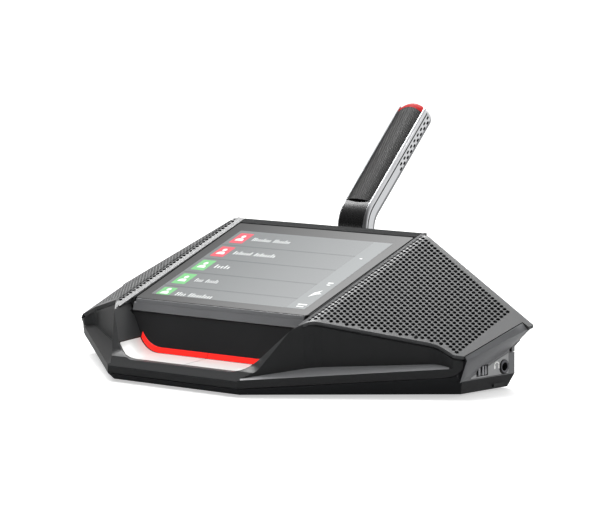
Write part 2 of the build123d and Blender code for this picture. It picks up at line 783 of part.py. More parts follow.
def strip_section(y):
    """Section of the side strip at a station along the body."""
    share = (y - side_front_y) / (wing_rear_y - side_front_y)
    x = seam_x(y)
    z = slope_height(x, y)
    skin_down = (panel_skin + seam_gap) / cos(radians(slope_angle)) / cos(radians(screen_tilt))
    nose_out = nose_out_front + (nose_out_rear - nose_out_front) * share
    nose_down = nose_down_front + (nose_down_rear - nose_down_front) * share
    waist_top = waist_top_z + waist_rise * y
    waist_low = waist_top - waist_lap_front - (waist_lap_rear - waist_lap_front) * share
    lip_x = x - lip_reach
    points = [(x + seam_gap, z - seam_gap), (x + nose_out, z - nose_down), (waist_x, waist_top),
              (waist_x, waist_low), (waist_x - wall, waist_low), (waist_x - wall, waist_top),
              (lip_x, slope_height(lip_x, y) - skin_down),
              (x + seam_gap, slope_height(x + seam_gap, y) - skin_down)]
    view = Plane(origin=(0, y, 0), x_dir=(1, 0, 0), z_dir=(0, -1, 0))
    return view * make_face(Polyline(*points, close=True))


strip_end_y = wing_rear_y - seam_gap
strip = loft([strip_section(side_front_y + seam_gap), strip_section(strip_end_y)], ruled=True)
tab_room = (block(0, cutter / 2, strip_rear_y - seam_gap, cutter / 2, 0, cutter / 2)
            - below(slope_plane(panel_skin + seam_gap)))
rear_corner = block(0, seam_x(wing_rear_y) - lip_reach, strip_rear_y - seam_gap, cutter / 2,
                    seam_rear_z - seam_gap, cutter / 2)
strip = strip - tab_room - rear_corner
base = base_form() & under_seam(seam_gap)
hollow = base_form(wall, foot_height + wall)
base = base - hollow + strip + mirrored(strip)

# Side controls: slot for the volume wheel, seat for the side panel, hole for the jack
wheel_x = waist_x + wheel_proud - wheel_radius
wheel_at = Pos(wheel_x, wheel_y, wheel_z)
wheel_room = wheel_at * Cylinder(wheel_radius + wheel_gap, wheel_thick + 2 * wheel_gap)
panel_points = [(side_panel_front_y, side_panel_low_z), (side_panel_rear_y, side_panel_low_z),
                (side_panel_rear_y, waist_top_z + waist_rise * side_panel_rear_y - side_panel_drop),
                (side_panel_front_y, waist_top_z + waist_rise * side_panel_front_y - side_panel_drop)]
side_view = Plane(origin=(waist_x - side_panel_thick, 0, 0), x_dir=(0, 1, 0), z_dir=(1, 0, 0))
side_panel_face = make_face(Polyline(*panel_points, close=True))
panel_room = extrude(side_view * offset(side_panel_face, seam_gap / 2, kind=Kind.INTERSECTION), overrun * 4)
side_panel = extrude(side_view * side_panel_face, side_panel_thick)
jack_at = Plane(origin=(waist_x + jack_proud, jack_y, jack_z), x_dir=(0, 1, 0), z_dir=(1, 0, 0))
barrel_length = wall + jack_proud + barrel_past_wall
jack_hole = extrude(jack_at * Circle(jack_barrel_radius + seam_gap / 2), -barrel_length)
side_panel = side_panel - wheel_room - jack_hole
base = base - panel_room - mirrored(panel_room)
base = base - wheel_room - mirrored(wheel_room) - jack_hole - mirrored(jack_hole)
save("side_panel_right", side_panel)
save("side_panel_left", mirrored(side_panel))

# Headphone jack: a round barrel in front of a square body, bored from outside
jack = extrude(jack_at * Circle(jack_barrel_radius), -barrel_length)
jack = jack + extrude(jack_at.offset(-barrel_length) * Rectangle(jack_body_width, jack_body_height),
                      -(jack_length - barrel_length))
jack = jack - extrude(jack_at * Circle(jack_bore_radius), -(jack_length - jack_end))
save("headphone_jack_right", jack)
save("headphone_jack_left", mirrored(jack))
floor_top = foot_height + wall
jack_seat = block(waist_x + jack_proud - jack_length, waist_x + jack_proud - barrel_length,
                  jack_y - jack_body_width / 2, jack_y + jack_body_width / 2,
                  floor_top - wall / 2, jack_z - jack_body_height / 2)

# Volume wheel with grip ribs, on a fixed spindle that stands on the tray floor
rib_turn = radians(360 / wheel_rib_count)
root_radius = wheel_radius - wheel_rib_depth
rim_points = []
for rib in range(wheel_rib_count):
    for radius, share in ((wheel_radius, -rib_crest_share), (wheel_radius, rib_crest_share),
                          (root_radius, 1 - rib_root_share), (root_radius, rib_root_share)):
        angle = rib_turn * (rib + share)
        rim_points.append((radius * cos(angle), radius * sin(angle)))
rim = make_face(Polyline(*rim_points, close=True))
wheel = extrude(rim, wheel_thick / 2, both=True) - Cylinder(spindle_radius + running_gap, wheel_thick * 2)
save("volume_wheel_right", wheel_at * wheel)
save("volume_wheel_left", mirrored(wheel_at * wheel))
wheel_low = wheel_z - wheel_thick / 2
spindle = (Pos(wheel_x, wheel_y, wheel_low - seam_gap - spindle_height) * extrude(
    RegularPolygon(spindle_body / 2, foot_sides), spindle_height)
    + Pos(wheel_x, wheel_y, wheel_low - seam_gap) * Cylinder(
        spindle_radius, wheel_thick + 2 * seam_gap, align=(Align.CENTER, Align.CENTER, Align.MIN)))
save("wheel_spindle_right", spindle)
save("wheel_spindle_left", mirrored(spindle))
spindle_seat = Pos(wheel_x, wheel_y, floor_top - wall / 2) * extrude(
    RegularPolygon(spindle_body / 2, foot_sides),
    wheel_low - seam_gap - spindle_height - floor_top + wall / 2)
base = base + jack_seat + mirrored(jack_seat) + spindle_seat + mirrored(spindle_seat)

# Boards: the button board on the floor, the main board on posts
button_board_face = Rectangle(2 * stem_x + 3 * switch_size, 2 * switch_size)
button_board = Pos(0, stem_y, floor_top) * extrude(button_board_face, board_thick)
save("button_board", button_board)
switch = extrude(Rectangle(switch_size, switch_size), switch_height)
plunger = extrude(RegularPolygon(plunger_radius, small_sides), plunger_height)
switch = switch + Pos(0, 0, switch_height) * plunger
switch = Pos(stem_x, stem_y, board_top) * switch
save("button_switch_right", switch)
save("button_switch_left", mirrored(switch))
board_low = floor_top + post_height
post_x = main_board_width / 2 - 2 * post_radius
post_y = main_board_length / 2 - 2 * post_radius
post_places = [(x, main_board_y + y) for x in (-post_x, post_x) for y in (-post_y, post_y)]
post_face = RegularPolygon(post_radius, small_sides)
for place in post_places:
    base = base + Pos(*place, floor_top - wall / 2) * extrude(post_face, post_height + wall / 2)
main_board = Pos(0, main_board_y, board_low) * extrude(Rectangle(main_board_width, main_board_length),
                                                       main_board_thick)
save("main_board", main_board)

# Loudspeakers: basket, cone and magnet under each wing
speaker_x = crest_half + speaker_crest_gap + speaker_radius
speaker_reach = pocket_far_depth + wall + speaker_radius + speaker_pocket_gap
speaker_y = front_y + ((speaker_x - front_half) * outward.X + speaker_reach) / -outward.Y
speaker_seat_z = slope_height(speaker_x, speaker_y, panel_skin + wall)
speaker_plane = Plane(origin=(speaker_x, speaker_y, speaker_seat_z),
                      x_dir=slope_plane().x_dir, z_dir=slope_plane().z_dir)


def speaker_ring(depth, radius):
    """A round outline of the loudspeaker at a depth behind its seat."""
    return speaker_plane.offset(-depth) * RegularPolygon(radius, speaker_sides)


def speaker_funnel(low, low_radius, high, high_radius):
    """A stretch of the loudspeaker that widens from a low depth to a higher one, in flat facets."""
    lower = PolarLocations(low_radius, speaker_sides)
    upper = PolarLocations(high_radius, speaker_sides)
    low_points = [(speaker_plane.offset(-low) * place).position for place in lower]
    high_points = [(speaker_plane.offset(-high) * place).position for place in upper]
    faces = [Face(Wire.make_polygon(points)) for points in (low_points, high_points)]
    for i in range(-1, speaker_sides - 1):
        corners = [low_points[i], low_points[i + 1], high_points[i + 1], high_points[i]]
        faces.append(Face(Wire.make_polygon(corners)))
    return Solid(Shell(faces))


window = extrude(speaker_ring(overrun, speaker_radius - speaker_window_gap), wall + 2 * overrun)
cover = cover - window - mirrored(window)
pot_radius = speaker_radius - speaker_rim
pot = speaker_funnel(speaker_depth, magnet_radius, speaker_flange, pot_radius)
pot_inside = speaker_funnel(speaker_depth - speaker_flange, magnet_radius - speaker_flange,
                            0, pot_radius - speaker_flange)
basket = extrude(speaker_ring(0, speaker_radius), -speaker_flange) + pot - pot_inside
save("speaker_basket_right", basket)
save("speaker_basket_left", mirrored(basket))
magnet = extrude(speaker_ring(speaker_depth, magnet_radius), -magnet_thick)
save("speaker_magnet_right", magnet)
save("speaker_magnet_left", mirrored(magnet))
cone_out = speaker_radius - speaker_rim - speaker_flange - 2 * fit_gap
cone = speaker_funnel(speaker_depth / 2, dust_cap_radius, fit_gap, cone_out)
cone = cone - speaker_funnel(speaker_depth / 2 - cone_thick, dust_cap_radius, fit_gap - cone_thick, cone_out)
save("speaker_cone_right", cone)
save("speaker_cone_left", mirrored(cone))

# Network sockets behind a plate of their own in the rear wall
socket_rear_y = rear_y - wall - fit_gap
port_front_y = rear_y - port_depth
port_low = port_z - port_height / 2 - port_wall
port_high = port_z + port_height / 2 + port_wall
port_near = (port_pitch - port_width) / 2
port_far = (port_pitch + port_width) / 2
port = block(port_near - port_wall, port_far + port_wall, port_front_y - port_wall, socket_rear_y,
             port_low, port_high)
port_way = block(port_near, port_far, port_front_y, rear_y + overrun,
                 port_z - port_height / 2, port_z + port_height / 2)
port_window = block(port_near - fit_gap, port_far + fit_gap, socket_rear_y, rear_y + overrun,
                    port_z - port_height / 2 - fit_gap, port_z + port_height / 2 + fit_gap)
save("network_socket_right", port - port_way)
save("network_socket_left", mirrored(port - port_way))
plate_low = floor_top + seam_gap
plate_high = seam_rear_z - 2 * seam_gap
rear_plate = block(-rear_plate_half, rear_plate_half, rear_y - wall, rear_y, plate_low, plate_high)
save("rear_plate", rear_plate - port_window - mirrored(port_window))
port_seat = block(-port_pitch, port_pitch, port_front_y - port_wall, rear_y - wall * 3 / 2,
                  floor_top - wall / 2, port_low)
base = base + port_seat - block(-rear_plate_half - fit_gap, rear_plate_half + fit_gap,
                                rear_y - 2 * wall, rear_y + overrun, floor_top, seam_rear_z)

# Feet in shallow seats, and the screws that hold base and cover together
sides = (-1, 1)
foot_places = [(x * side, y) for x, y in ((foot_x, foot_y), (foot_front_x, foot_front_y))
               for side in sides]
foot_face = RegularPolygon(foot_radius, foot_sides)
feet = [Pos(*place, 0) * extrude(foot_face, foot_height + foot_recess) for place in foot_places]
for place in foot_places:
    base = base - Pos(*place, foot_height) * extrude(foot_face, foot_recess)
save("rubber_feet", Compound(feet))
screw_places = [(x * side, y) for x, y in ((screw_x, screw_y), (screw_front_x, screw_front_y))
                for side in sides]
screws = []
boss_face = RegularPolygon(boss_radius, small_sides)
head_face = RegularPolygon(screw_head_radius, small_sides)
head_room = RegularPolygon(screw_head_radius + running_gap, small_sides)
shank_face = RegularPolygon(screw_radius, small_sides)
shank_room = RegularPolygon(screw_radius + running_gap, small_sides)
for x, y in screw_places:
    at = Pos(x, y, foot_height + fit_gap)
    base = base + Pos(x, y, floor_top - wall / 2) * extrude(boss_face, post_height + wall / 2)
    base = base - Pos(x, y, foot_height - overrun) * extrude(head_room, overrun + screw_head_height + fit_gap)
    base = base - Pos(x, y, foot_height) * extrude(shank_room, cutter / 4)
    head = at * extrude(head_face, screw_head_height)
    shank = at * extrude(shank_face, screw_length)
    socket_cut = at * extrude(RegularPolygon(screw_radius, hole_sides), screw_head_height / 2)
    screws.append(head + shank - socket_cut)
save("case_screws", Compound(screws))
save("base_housing", base)
save("top_cover", cover)
save("grille_right", grille_right)
save("grille_left", mirrored(grille_right))
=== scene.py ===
import math
from functools import cache

import bmesh
import bpy
import numpy as np
from bpy.props import FloatProperty, FloatVectorProperty, IntProperty, PointerProperty
from mathutils import Matrix, Vector
from mathutils.geometry import delaunay_2d_cdt


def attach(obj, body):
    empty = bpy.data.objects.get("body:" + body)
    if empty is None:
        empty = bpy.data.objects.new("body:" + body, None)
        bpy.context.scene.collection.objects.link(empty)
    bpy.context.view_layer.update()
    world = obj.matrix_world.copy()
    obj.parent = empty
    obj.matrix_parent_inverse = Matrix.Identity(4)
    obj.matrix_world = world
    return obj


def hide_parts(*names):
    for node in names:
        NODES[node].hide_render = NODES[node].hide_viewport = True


bl_info = {
    "name": "Conference delegate unit",
    "version": (1, 0, 0),
    "blender": (4, 5, 0),
    "location": "3D View > Sidebar > Delegate unit",
    "description": "Dresses the packed delegate unit with its panels, screen page and finishes",
    "category": "Object",
}

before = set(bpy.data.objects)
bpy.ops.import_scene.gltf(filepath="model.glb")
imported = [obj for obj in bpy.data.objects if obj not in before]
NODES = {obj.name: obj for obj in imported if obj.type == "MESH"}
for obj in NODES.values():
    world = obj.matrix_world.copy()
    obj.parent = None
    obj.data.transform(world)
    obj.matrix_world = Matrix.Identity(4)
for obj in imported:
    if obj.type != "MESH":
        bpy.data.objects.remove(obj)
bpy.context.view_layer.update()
MM = 0.001
SIDES = (("right", 1), ("left", -1))

# All lengths below are in millimetres. Corners nearer than this are one corner that the CAD mesh splits
WELD = 0.002
# A corner nearer than this to a face's plane lies on the face
ON_FACE = 0.05
# Depth of the spark-eroded grain on the case
SPARK_DEPTH = 0.014

# Touch glass, with its own axes
GLASS_FRONT = Vector((0, -37.0, 35.2))
GLASS_TILT = math.radians(21.84)
GLASS_LENGTH = 81.4
GLASS_HALF_FRONT = 54.1
GLASS_HALF_REAR = 55.4
GLASS_THICK = 1.6
GLASS_CORNER = 1.3
ACROSS = Vector((1, 0, 0))
UP_GLASS = Vector((0, math.cos(GLASS_TILT), math.sin(GLASS_TILT)))
OFF_GLASS = Vector((0, -math.sin(GLASS_TILT), math.cos(GLASS_TILT)))

# Loudspeaker panels: a flank rises from the glass to the crest, and the wing falls beyond it
CREST_RISE = 1.1
CREST_HALF = 61.2
FLANK_WIDTH = 5.0
FLANK_RISE = math.atan2(CREST_RISE, FLANK_WIDTH)
ALONG_FLANK = ACROSS * math.cos(FLANK_RISE) + OFF_GLASS * math.sin(FLANK_RISE)
OFF_FLANK = OFF_GLASS * math.cos(FLANK_RISE) - ACROSS * math.sin(FLANK_RISE)
WING_FALL = math.radians(24.81)
CREST_FRONT = Vector((CREST_HALF, GLASS_FRONT.y, GLASS_FRONT.z + CREST_RISE / math.cos(GLASS_TILT)))
DOWN_WING = ACROSS * math.cos(WING_FALL) - OFF_GLASS * math.sin(WING_FALL)
OFF_WING = ACROSS * math.sin(WING_FALL) + OFF_GLASS * math.cos(WING_FALL)
# Distance between the points that fill the plain margin, and their least distance from its edge
FILL_STEP = 1.25
FILL_CLEAR = 0.5

# Side recesses, ledges and rear sockets
SIDE_FACE_X = 118.0
JACK_PLACE = (118.3, 26.7, 11.1)
SIGN_PLACE = (21.4, 12.3)
WHEEL_AXIS = (109.6, 10.7)
WHEEL_CREST = 9.0
LEDGE_SLOPE = (0.16, -0.29, 0.94)
HAND_REST_SLOPE = (0.0, -0.456, 0.89)
PORT_PITCH = 24.0

# Microphone: its runs are measured up its leaning length from the bend, its travels from the neck's top
MIC_FOOT_Y = 61.8
MIC_LEAN = math.radians(43.4)
MIC_BEND_Z = 70.2
MIC_BEND_RADIUS = 14.0
MIC_BEND_LONG = MIC_BEND_RADIUS * MIC_LEAN
MIC_NECK_TOP = MIC_BEND_Z - MIC_BEND_RADIUS * math.tan(MIC_LEAN / 2)
MIC_WIDTH = 18.1
MIC_DEPTH = 9.2
MIC_LENGTH = 69.0
MIC_TRAVEL = MIC_BEND_LONG + MIC_LENGTH - (MIC_BEND_Z - MIC_NECK_TOP)
MIC_TOP_CORNER = 6.5
MIC_FRONT = -4.6
MIC_FRONT_HALF = 7.55
# Front mesh and red cap: where each begins, the gap between them, how far the joint and the cap's end
# fall from the middle to the sides, and how far the cap curls back
MESH_START = 6.45
CAP_START = 65.35
CAP_GAP = 0.05
JOINT_FALL = 1.9
END_FALL = 2.3
CAP_CURL = 2.0
# Sound ports: depths of the two rows, and distance of the first port from the shell's end
PORT_ROWS = (-0.5, 1.15)
PORT_START = 5.6
# Line along each side: how deep it is cut, the travel where it starts, and its distance from the end
LINE_DEEP = 0.35
LINE_START = -3.6
LINE_END = 9.6
# How far a cutter stands out of the surface that it cuts
PROUD = 0.6
UP_MIC = Vector((0, math.sin(MIC_LEAN), math.cos(MIC_LEAN)))
REAR_MIC = Vector((0, math.cos(MIC_LEAN), -math.sin(MIC_LEAN)))


def linear(code):
    """An sRGB hex colour as linear red, green and blue."""
    parts = [int(code[i:i + 2], 16) / 255 for i in (1, 3, 5)]
    return tuple(c / 12.92 if c <= 0.04045 else ((c + 0.055) / 1.055) ** 2.4 for c in parts)


def hue(name, about, code):
    """A colour that a user may change."""
    return FloatVectorProperty(name=name, description=about, default=linear(code), subtype="COLOR",
                               size=3, min=0.0, max=1.0)


def amount(name, about, value, low=0.0):
    """A number that a user may change."""
    return FloatProperty(name=name, description=about, default=value, min=low)


def size(name, about, value, low=0.0):
    """A length in millimetres that a user may change."""
    return amount(name, about + ", in millimetres", value, low)


class CaseFinish(bpy.types.PropertyGroup):
    """Plastics of the case."""
    cover_colour: hue("Cover", "Moulded colour of the top cover", "#2a2b2c")
    wing_colour: hue("Wings", "Moulded colour of the loudspeaker panels", "#424344")
    base_colour: hue("Base", "Moulded colour of the base tray", "#1b1c1e")
    lip_colour: hue("Screen lip", "Painted colour of the lip under the glass", "#747577")
    side_colour: hue("Side panel", "Moulded colour of the side control panels", "#8c8d8e")
    # The ledges' pale colour is a painted highlight
    ledge_sheen_colour: hue("Ledge", "Painted colour of the hand ledges beside the recess", "#8e8f91")
    grain: size("Grain", "Width of the spark-eroded grain", 0.6, 0.05)
    edge_round: size("Edge rounding", "Width of the rounding on the case edges", 0.7, 0.01)


class GrilleSizes(bpy.types.PropertyGroup):
    """Perforated loudspeaker panels."""
    pitch: size("Hole pitch", "Distance between neighbouring holes", 2.5, 1.0)
    hole_radius: size("Hole radius", "Radius of one hole", 0.93, 0.1)
    chamfer: size("Hole edge", "Width of the broken edge of a hole", 0.08)
    thick: size("Sheet", "Thickness of the perforated panel", 1.2, 0.3)
    skirt: size("Skirt", "Depth to which the panel's edge turns down", 1.9, 0.3)
    crest_round: size("Crest rounding", "Radius where the panel folds over the crest", 8.0, 0.5)
    lean: size("Row lean", "Forward shift from one column of holes to the next", 0.6)
    margin: size("Margin", "Unpierced edge around the field", 0.8, 0.2)
    field_start: size("Field start", "Where the holes begin across the crest", -2.0, -20.0)
    field_end: size("Field end", "Where the holes end down the slope, measured from the crest", 61.2, 5.0)


class ScreenLook(bpy.types.PropertyGroup):
    """Glass and the list page on the display."""
    page_colour: hue("Page", "Colour of the list page", "#696d6e")
    rule_colour: hue("Rules", "Colour of the lines between rows", "#54595a")
    busy_colour: hue("Busy mark", "Mark of a seat that speaks", "#ea4055")
    free_colour: hue("Free mark", "Mark of a seat that is free", "#6cc475")
    glow: amount("Glow", "Strength of the backlight", 0.75)
    row_pitch: size("Row pitch", "Distance between rows of the list", 14.6, 5.0)


class RecessLook(bpy.types.PropertyGroup):
    """Buttons and light strips."""
    cap_colour: hue("Caps", "Colour of the two button caps", "#dededc")
    light_colour: hue("Light", "Colour of the light guides", "#f02a24")
    glow: amount("Glow", "Strength of the light guides", 0.9)


class MicrophoneLook(bpy.types.PropertyGroup):
    """Sound ports, mesh and shell of the microphone."""
    shell_colour: hue("Shell", "Colour of the blasted aluminium shell", "#dcdddf")
    port_count: IntProperty(name="Ports", description="Sound ports in one row", default=9, min=1, max=30)
    port_long: size("Port length", "Length of one sound port", 2.0, 0.3)
    port_wide: size("Port width", "Width of one sound port", 1.1, 0.2)
    port_pitch: size("Port pitch", "Distance between ports of a row", 3.7, 0.5)
    mesh_pitch: size("Mesh pitch", "Distance between wires of the front mesh", 0.9, 0.1)
    end_round: size("End rounding", "Radius of the shell's upper rear edge", 2.8, 0.1)
    crown: size("Crown", "Height by which the front mesh bulges", 1.7)
    line_wide: size("Line width", "Width of the line along each side of the shell", 0.7, 0.1)
    line_place: size("Line place", "Depth of that line", -2.3, -9.0)


class StudioLook(bpy.types.PropertyGroup):
    """Floor, light and camera."""
    floor_colour: hue("Floor", "Colour of the light table", "#f0f0f0")
    underlight: amount("Underlight", "Light from under the table", 0.6)
    sweep: amount("Sweep", "Brightness of the white sweep behind and above", 1.25)
    dark_side: amount("Dark side", "Brightness of the room in front", 0.1)
    lens: size("Lens", "Focal length of the camera", 198.8, 10.0)


GROUPS = {"case": CaseFinish, "grille": GrilleSizes, "screen": ScreenLook, "recess": RecessLook,
          "microphone": MicrophoneLook, "studio": StudioLook}


def settings(group):
    """The values of one group of the panel."""
    return getattr(bpy.context.scene, "delegate_" + group)


# ---------------------------------------------------------------- finishes


def add_node(tree, kind, feeds=None, **choices):
    """Add a node, apply its choices, and set or link each input named in feeds."""
    made = tree.nodes.new(kind)
    for key, value in choices.items():
        setattr(made, key, value)
    for key, value in (feeds or {}).items():
        if isinstance(value, bpy.types.NodeSocket):
            tree.links.new(value, made.inputs[key])
        else:
            made.inputs[key].default_value = value
    return made


def start_finish(name):
    """A new finish with an empty node tree, and the places on the object that its patterns follow."""
    made = bpy.data.materials.new(name)
    made.use_nodes = True
    tree = made.node_tree
    tree.nodes.clear()
    return made, tree, add_node(tree, "ShaderNodeTexCoord").outputs["Object"]


def close_finish(made, skin, relief=None, depth=0.0):
    """Join a skin, given as the shader's settings, and its relief in millimetres to the output."""
    tree = made.node_tree
    if relief is not None:
        bump = add_node(tree, "ShaderNodeBump", {"Height": relief, "Distance": depth * MM})
        skin["Normal"] = bump.outputs[0]
    shader = add_node(tree, "ShaderNodeBsdfPrincipled", skin)
    add_node(tree, "ShaderNodeOutputMaterial", {"Surface": shader.outputs[0]})
    return made


def shade(colour, factor=1.0):
    """A colour with full opacity, made lighter or darker."""
    return (*(min(1.0, part * factor) for part in colour), 1.0)


def moulded(name, colour, rough, grain=0.6, depth=0.02, drift=0.12, shine=0.5):
    """Moulded plastic: fine grain in the surface, with slow drifts of tone and gloss."""
    made, tree, place = start_finish(name)
    fine = add_node(tree, "ShaderNodeTexNoise", {
        "Vector": place, "Scale": 1 / (grain * MM), "Detail": 2.0, "Roughness": 0.55})
    slow = add_node(tree, "ShaderNodeTexNoise", {"Vector": place, "Scale": 1 / (24 * MM), "Detail": 2.0})
    tone = add_node(tree, "ShaderNodeMix", {
        0: slow.outputs["Fac"], 6: shade(colour, 1 - drift), 7: shade(colour, 1 + drift)}, data_type="RGBA")
    gloss = add_node(tree, "ShaderNodeMapRange", {
        "Value": fine.outputs["Fac"], "To Min": rough - 0.05, "To Max": rough + 0.05})
    return close_finish(made, {
        "Base Color": tone.outputs[2], "Roughness": gloss.outputs[0], "IOR": 1.53,
        "Specular IOR Level": shine}, fine.outputs["Fac"], depth)


def metal(name, colour, rough, grain=0.4, depth=0.004, stretch=(1, 1, 1)):
    """Bare or plated metal: the tool or blast marks break up the reflection."""
    made, tree, place = start_finish(name)
    drawn = add_node(tree, "ShaderNodeMapping", {"Vector": place, "Scale": stretch})
    marks = add_node(tree, "ShaderNodeTexNoise", {
        "Vector": drawn.outputs[0], "Scale": 1 / (grain * MM), "Detail": 3.0})
    tone = add_node(tree, "ShaderNodeMix", {
        0: marks.outputs["Fac"], 6: shade(colour, 0.93), 7: shade(colour, 1.05)}, data_type="RGBA")
    gloss = add_node(tree, "ShaderNodeMapRange", {
        "Value": marks.outputs["Fac"], "To Min": rough - 0.04, "To Max": rough + 0.04})
    return close_finish(made, {
        "Base Color": tone.outputs[2], "Metallic": 1.0, "Roughness": gloss.outputs[0]},
        marks.outputs["Fac"], depth)


def lit(name, colour, strength, rough, depth=0.0, base=0.35, shine=0.5):
    """A lit, smooth surface: its own light shows through a clear skin that still reflects."""
    made, tree, place = start_finish(name)
    slow, fine = (add_node(tree, "ShaderNodeTexNoise", {"Vector": place, "Scale": 1 / (length * MM)})
                  for length in (18, 0.5))
    glow = add_node(tree, "ShaderNodeMix", {
        0: slow.outputs["Fac"], 6: shade(colour, 0.94), 7: shade(colour, 1.04)}, data_type="RGBA")
    return close_finish(made, {
        "Base Color": shade(colour, base), "Emission Color": glow.outputs[2], "Emission Strength": strength,
        "Roughness": rough, "IOR": 1.5, "Specular IOR Level": shine}, fine.outputs["Fac"], depth)


def cover_glass():
    """Chemically toughened glass over a black screen print: near-black with a mirror-like skin,
    and a faint bloom where fingers have been."""
    made, tree, place = start_finish("toughened_glass_black_print")
    drawn = add_node(tree, "ShaderNodeMapping", {"Vector": place, "Scale": (1, 2.2, 1)})
    smear = add_node(tree, "ShaderNodeTexNoise", {
        "Vector": drawn.outputs[0], "Scale": 1 / (9 * MM), "Detail": 4.0})
    gloss = add_node(tree, "ShaderNodeMapRange", {
        "Value": smear.outputs["Fac"], "To Min": 0.04, "To Max": 0.09})
    return close_finish(made, {
        "Base Color": shade(linear("#0d0e0f")), "Roughness": gloss.outputs[0], "IOR": 1.52})


def ledge_painted_sheen(colour):
    """Pale grey with a fine flake grain, for the hand ledges: a painted highlight, with painted shade by the
    viewing angle, pale where it is seen face-on, dark at a low angle.
    """
    made, tree, place = start_finish("ledge_painted_sheen_grey")
    flakes = add_node(tree, "ShaderNodeTexNoise", {
        "Vector": place, "Scale": 1 / (0.5 * MM), "Detail": 2.0})
    # The viewing angle sets the colour: painted shade at a low angle, painted highlight face-on
    slant = add_node(tree, "ShaderNodeLayerWeight", {"Blend": 0.5})
    facing_shade = add_node(tree, "ShaderNodeMapRange", {
        "Value": slant.outputs["Facing"], "From Min": 0.62, "From Max": 0.76, "To Min": 1.0, "To Max": 0.0})
    pale = add_node(tree, "ShaderNodeMix", {
        0: flakes.outputs["Fac"], 6: shade(colour, 0.9), 7: shade(colour, 1.1)}, data_type="RGBA")
    tone = add_node(tree, "ShaderNodeMix", {
        0: facing_shade.outputs[0], 6: shade(colour, 0.06), 7: pale.outputs[2]}, data_type="RGBA")
    return close_finish(made, {
        "Base Color": tone.outputs[2], "Roughness": 0.5, "IOR": 1.5, "Specular IOR Level": 0.15},
        flakes.outputs["Fac"], 0.006)


def wire_mesh(pitch):
    """Woven steel mesh, stoved black: wires cross at a fine pitch and leave dark gaps.
    The real pitch of about 0.3 mm is drawn coarser so that it shows."""
    made, tree, place = start_finish("woven_steel_mesh_black")
    upright = add_node(tree, "ShaderNodeMapping", {"Vector": place, "Rotation": (MIC_LEAN, 0, 0)})
    wires = []
    for turn in (math.radians(45), math.radians(-45)):
        spun = add_node(tree, "ShaderNodeMapping", {"Vector": upright.outputs[0], "Rotation": (0, turn, 0)})
        wires.append(add_node(tree, "ShaderNodeTexWave", {
            "Vector": spun.outputs[0], "Scale": 2 * math.pi / (20 * pitch * MM)}, bands_direction="X"))
    weave = add_node(tree, "ShaderNodeMath", {0: wires[0].outputs["Fac"], 1: wires[1].outputs["Fac"]},
                     operation="MAXIMUM")
    tone = add_node(tree, "ShaderNodeMix", {
        0: weave.outputs[0], 6: shade(linear("#020202")), 7: shade(linear("#1c1c1c"))}, data_type="RGBA")
    return close_finish(made, {
        "Base Color": tone.outputs[2], "Roughness": 0.3, "IOR": 1.5, "Specular IOR Level": 0.2},
        weave.outputs[0], 0.1)


@cache
def circuit_board():
    """Solder mask over copper: green gloss with slightly raised, lighter tracks."""
    made, tree, place = start_finish("solder_mask_over_copper")
    tracks = add_node(tree, "ShaderNodeTexBrick", {
        "Vector": place, "Scale": 1 / (6 * MM), "Mortar Size": 0.06, "Color1": shade(linear("#0c4a2a")),
        "Color2": shade(linear("#0f5531")), "Mortar": shade(linear("#2e7a4c"))})
    return close_finish(made, {
        "Base Color": tracks.outputs["Color"], "Roughness": 0.3, "IOR": 1.55}, tracks.outputs["Fac"], 0.03)


@cache
def black_nylon():
    """Glass-filled nylon, moulded: dull black with a faint fibre mottle."""
    return moulded("moulded_nylon_black", linear("#101011"), rough=0.55, grain=0.5, depth=0.02)


@cache
def painted_lip():
    """ABS under a satin paint: smoother and lighter than the cover."""
    return moulded("painted_abs_lip", settings("case").lip_colour, rough=0.33, grain=0.5, depth=0.006)


# ---------------------------------------------------------------- pieces


def dress(node, made, width=0.0):
    """Give a CAD node its finish; weld its split corners and round its hard edges by a width."""
    obj = NODES[node]
    for slot in obj.material_slots:
        slot.material = made
    if width:
        obj.modifiers.new("weld", "WELD").merge_threshold = WELD * MM
        bevel = obj.modifiers.new("edge_round", "BEVEL")
        bevel.width = width * MM
        bevel.segments = 2
        bevel.limit_method = "ANGLE"
        bevel.angle_limit = math.radians(30)
        bevel.harden_normals = True
        bevel.miter_outer = "MITER_ARC"
    return obj


def linked(name, data):
    """A new object in the scene."""
    obj = bpy.data.objects.new(name, data)
    bpy.context.scene.collection.objects.link(obj)
    return obj


class Maker:
    """Collects the points, in millimetres, and the faces of one piece."""

    def __init__(self, *parts):
        self.points, self.faces, self.tones = [], [], []
        for part in parts:
            self.add(*part)

    def add(self, points, faces, tone=0):
        """Add a part; its tone is the place of its finish in the piece's list."""
        base = len(self.points)
        self.points += [Vector(p) for p in points]
        self.faces += [[base + i for i in face] for face in faces]
        self.tones += [tone] * len(faces)

    def mirrored(self):
        """The left-hand copy."""
        other = Maker()
        other.points = [Vector((-p.x, p.y, p.z)) for p in self.points]
        other.faces = [face[::-1] for face in self.faces]
        other.tones = self.tones
        return other

    def piece(self, name, body, slot, *finishes, angle=30.0):
        """The closed mesh, riding on a body."""
        mesh = bpy.data.meshes.new(name)
        mesh.from_pydata([p * MM for p in self.points], [], self.faces)
        mesh.validate()
        for made in finishes:
            mesh.materials.append(made)
        mesh.polygons.foreach_set("material_index", self.tones)
        mesh.polygons.foreach_set("use_smooth", [True] * len(mesh.polygons))
        mesh.set_sharp_from_angle(angle=math.radians(angle))
        obj = linked(name, mesh)
        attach(obj, body)
        return obj

    def both(self, name, slot, made, angle=30.0):
        """The piece on the right-hand side of the housing, and its mirrored copy on the left."""
        return [maker.piece(name + "_" + side, "housing", slot, made, angle=angle)
                for maker, (side, _) in zip((self, self.mirrored()), SIDES)]


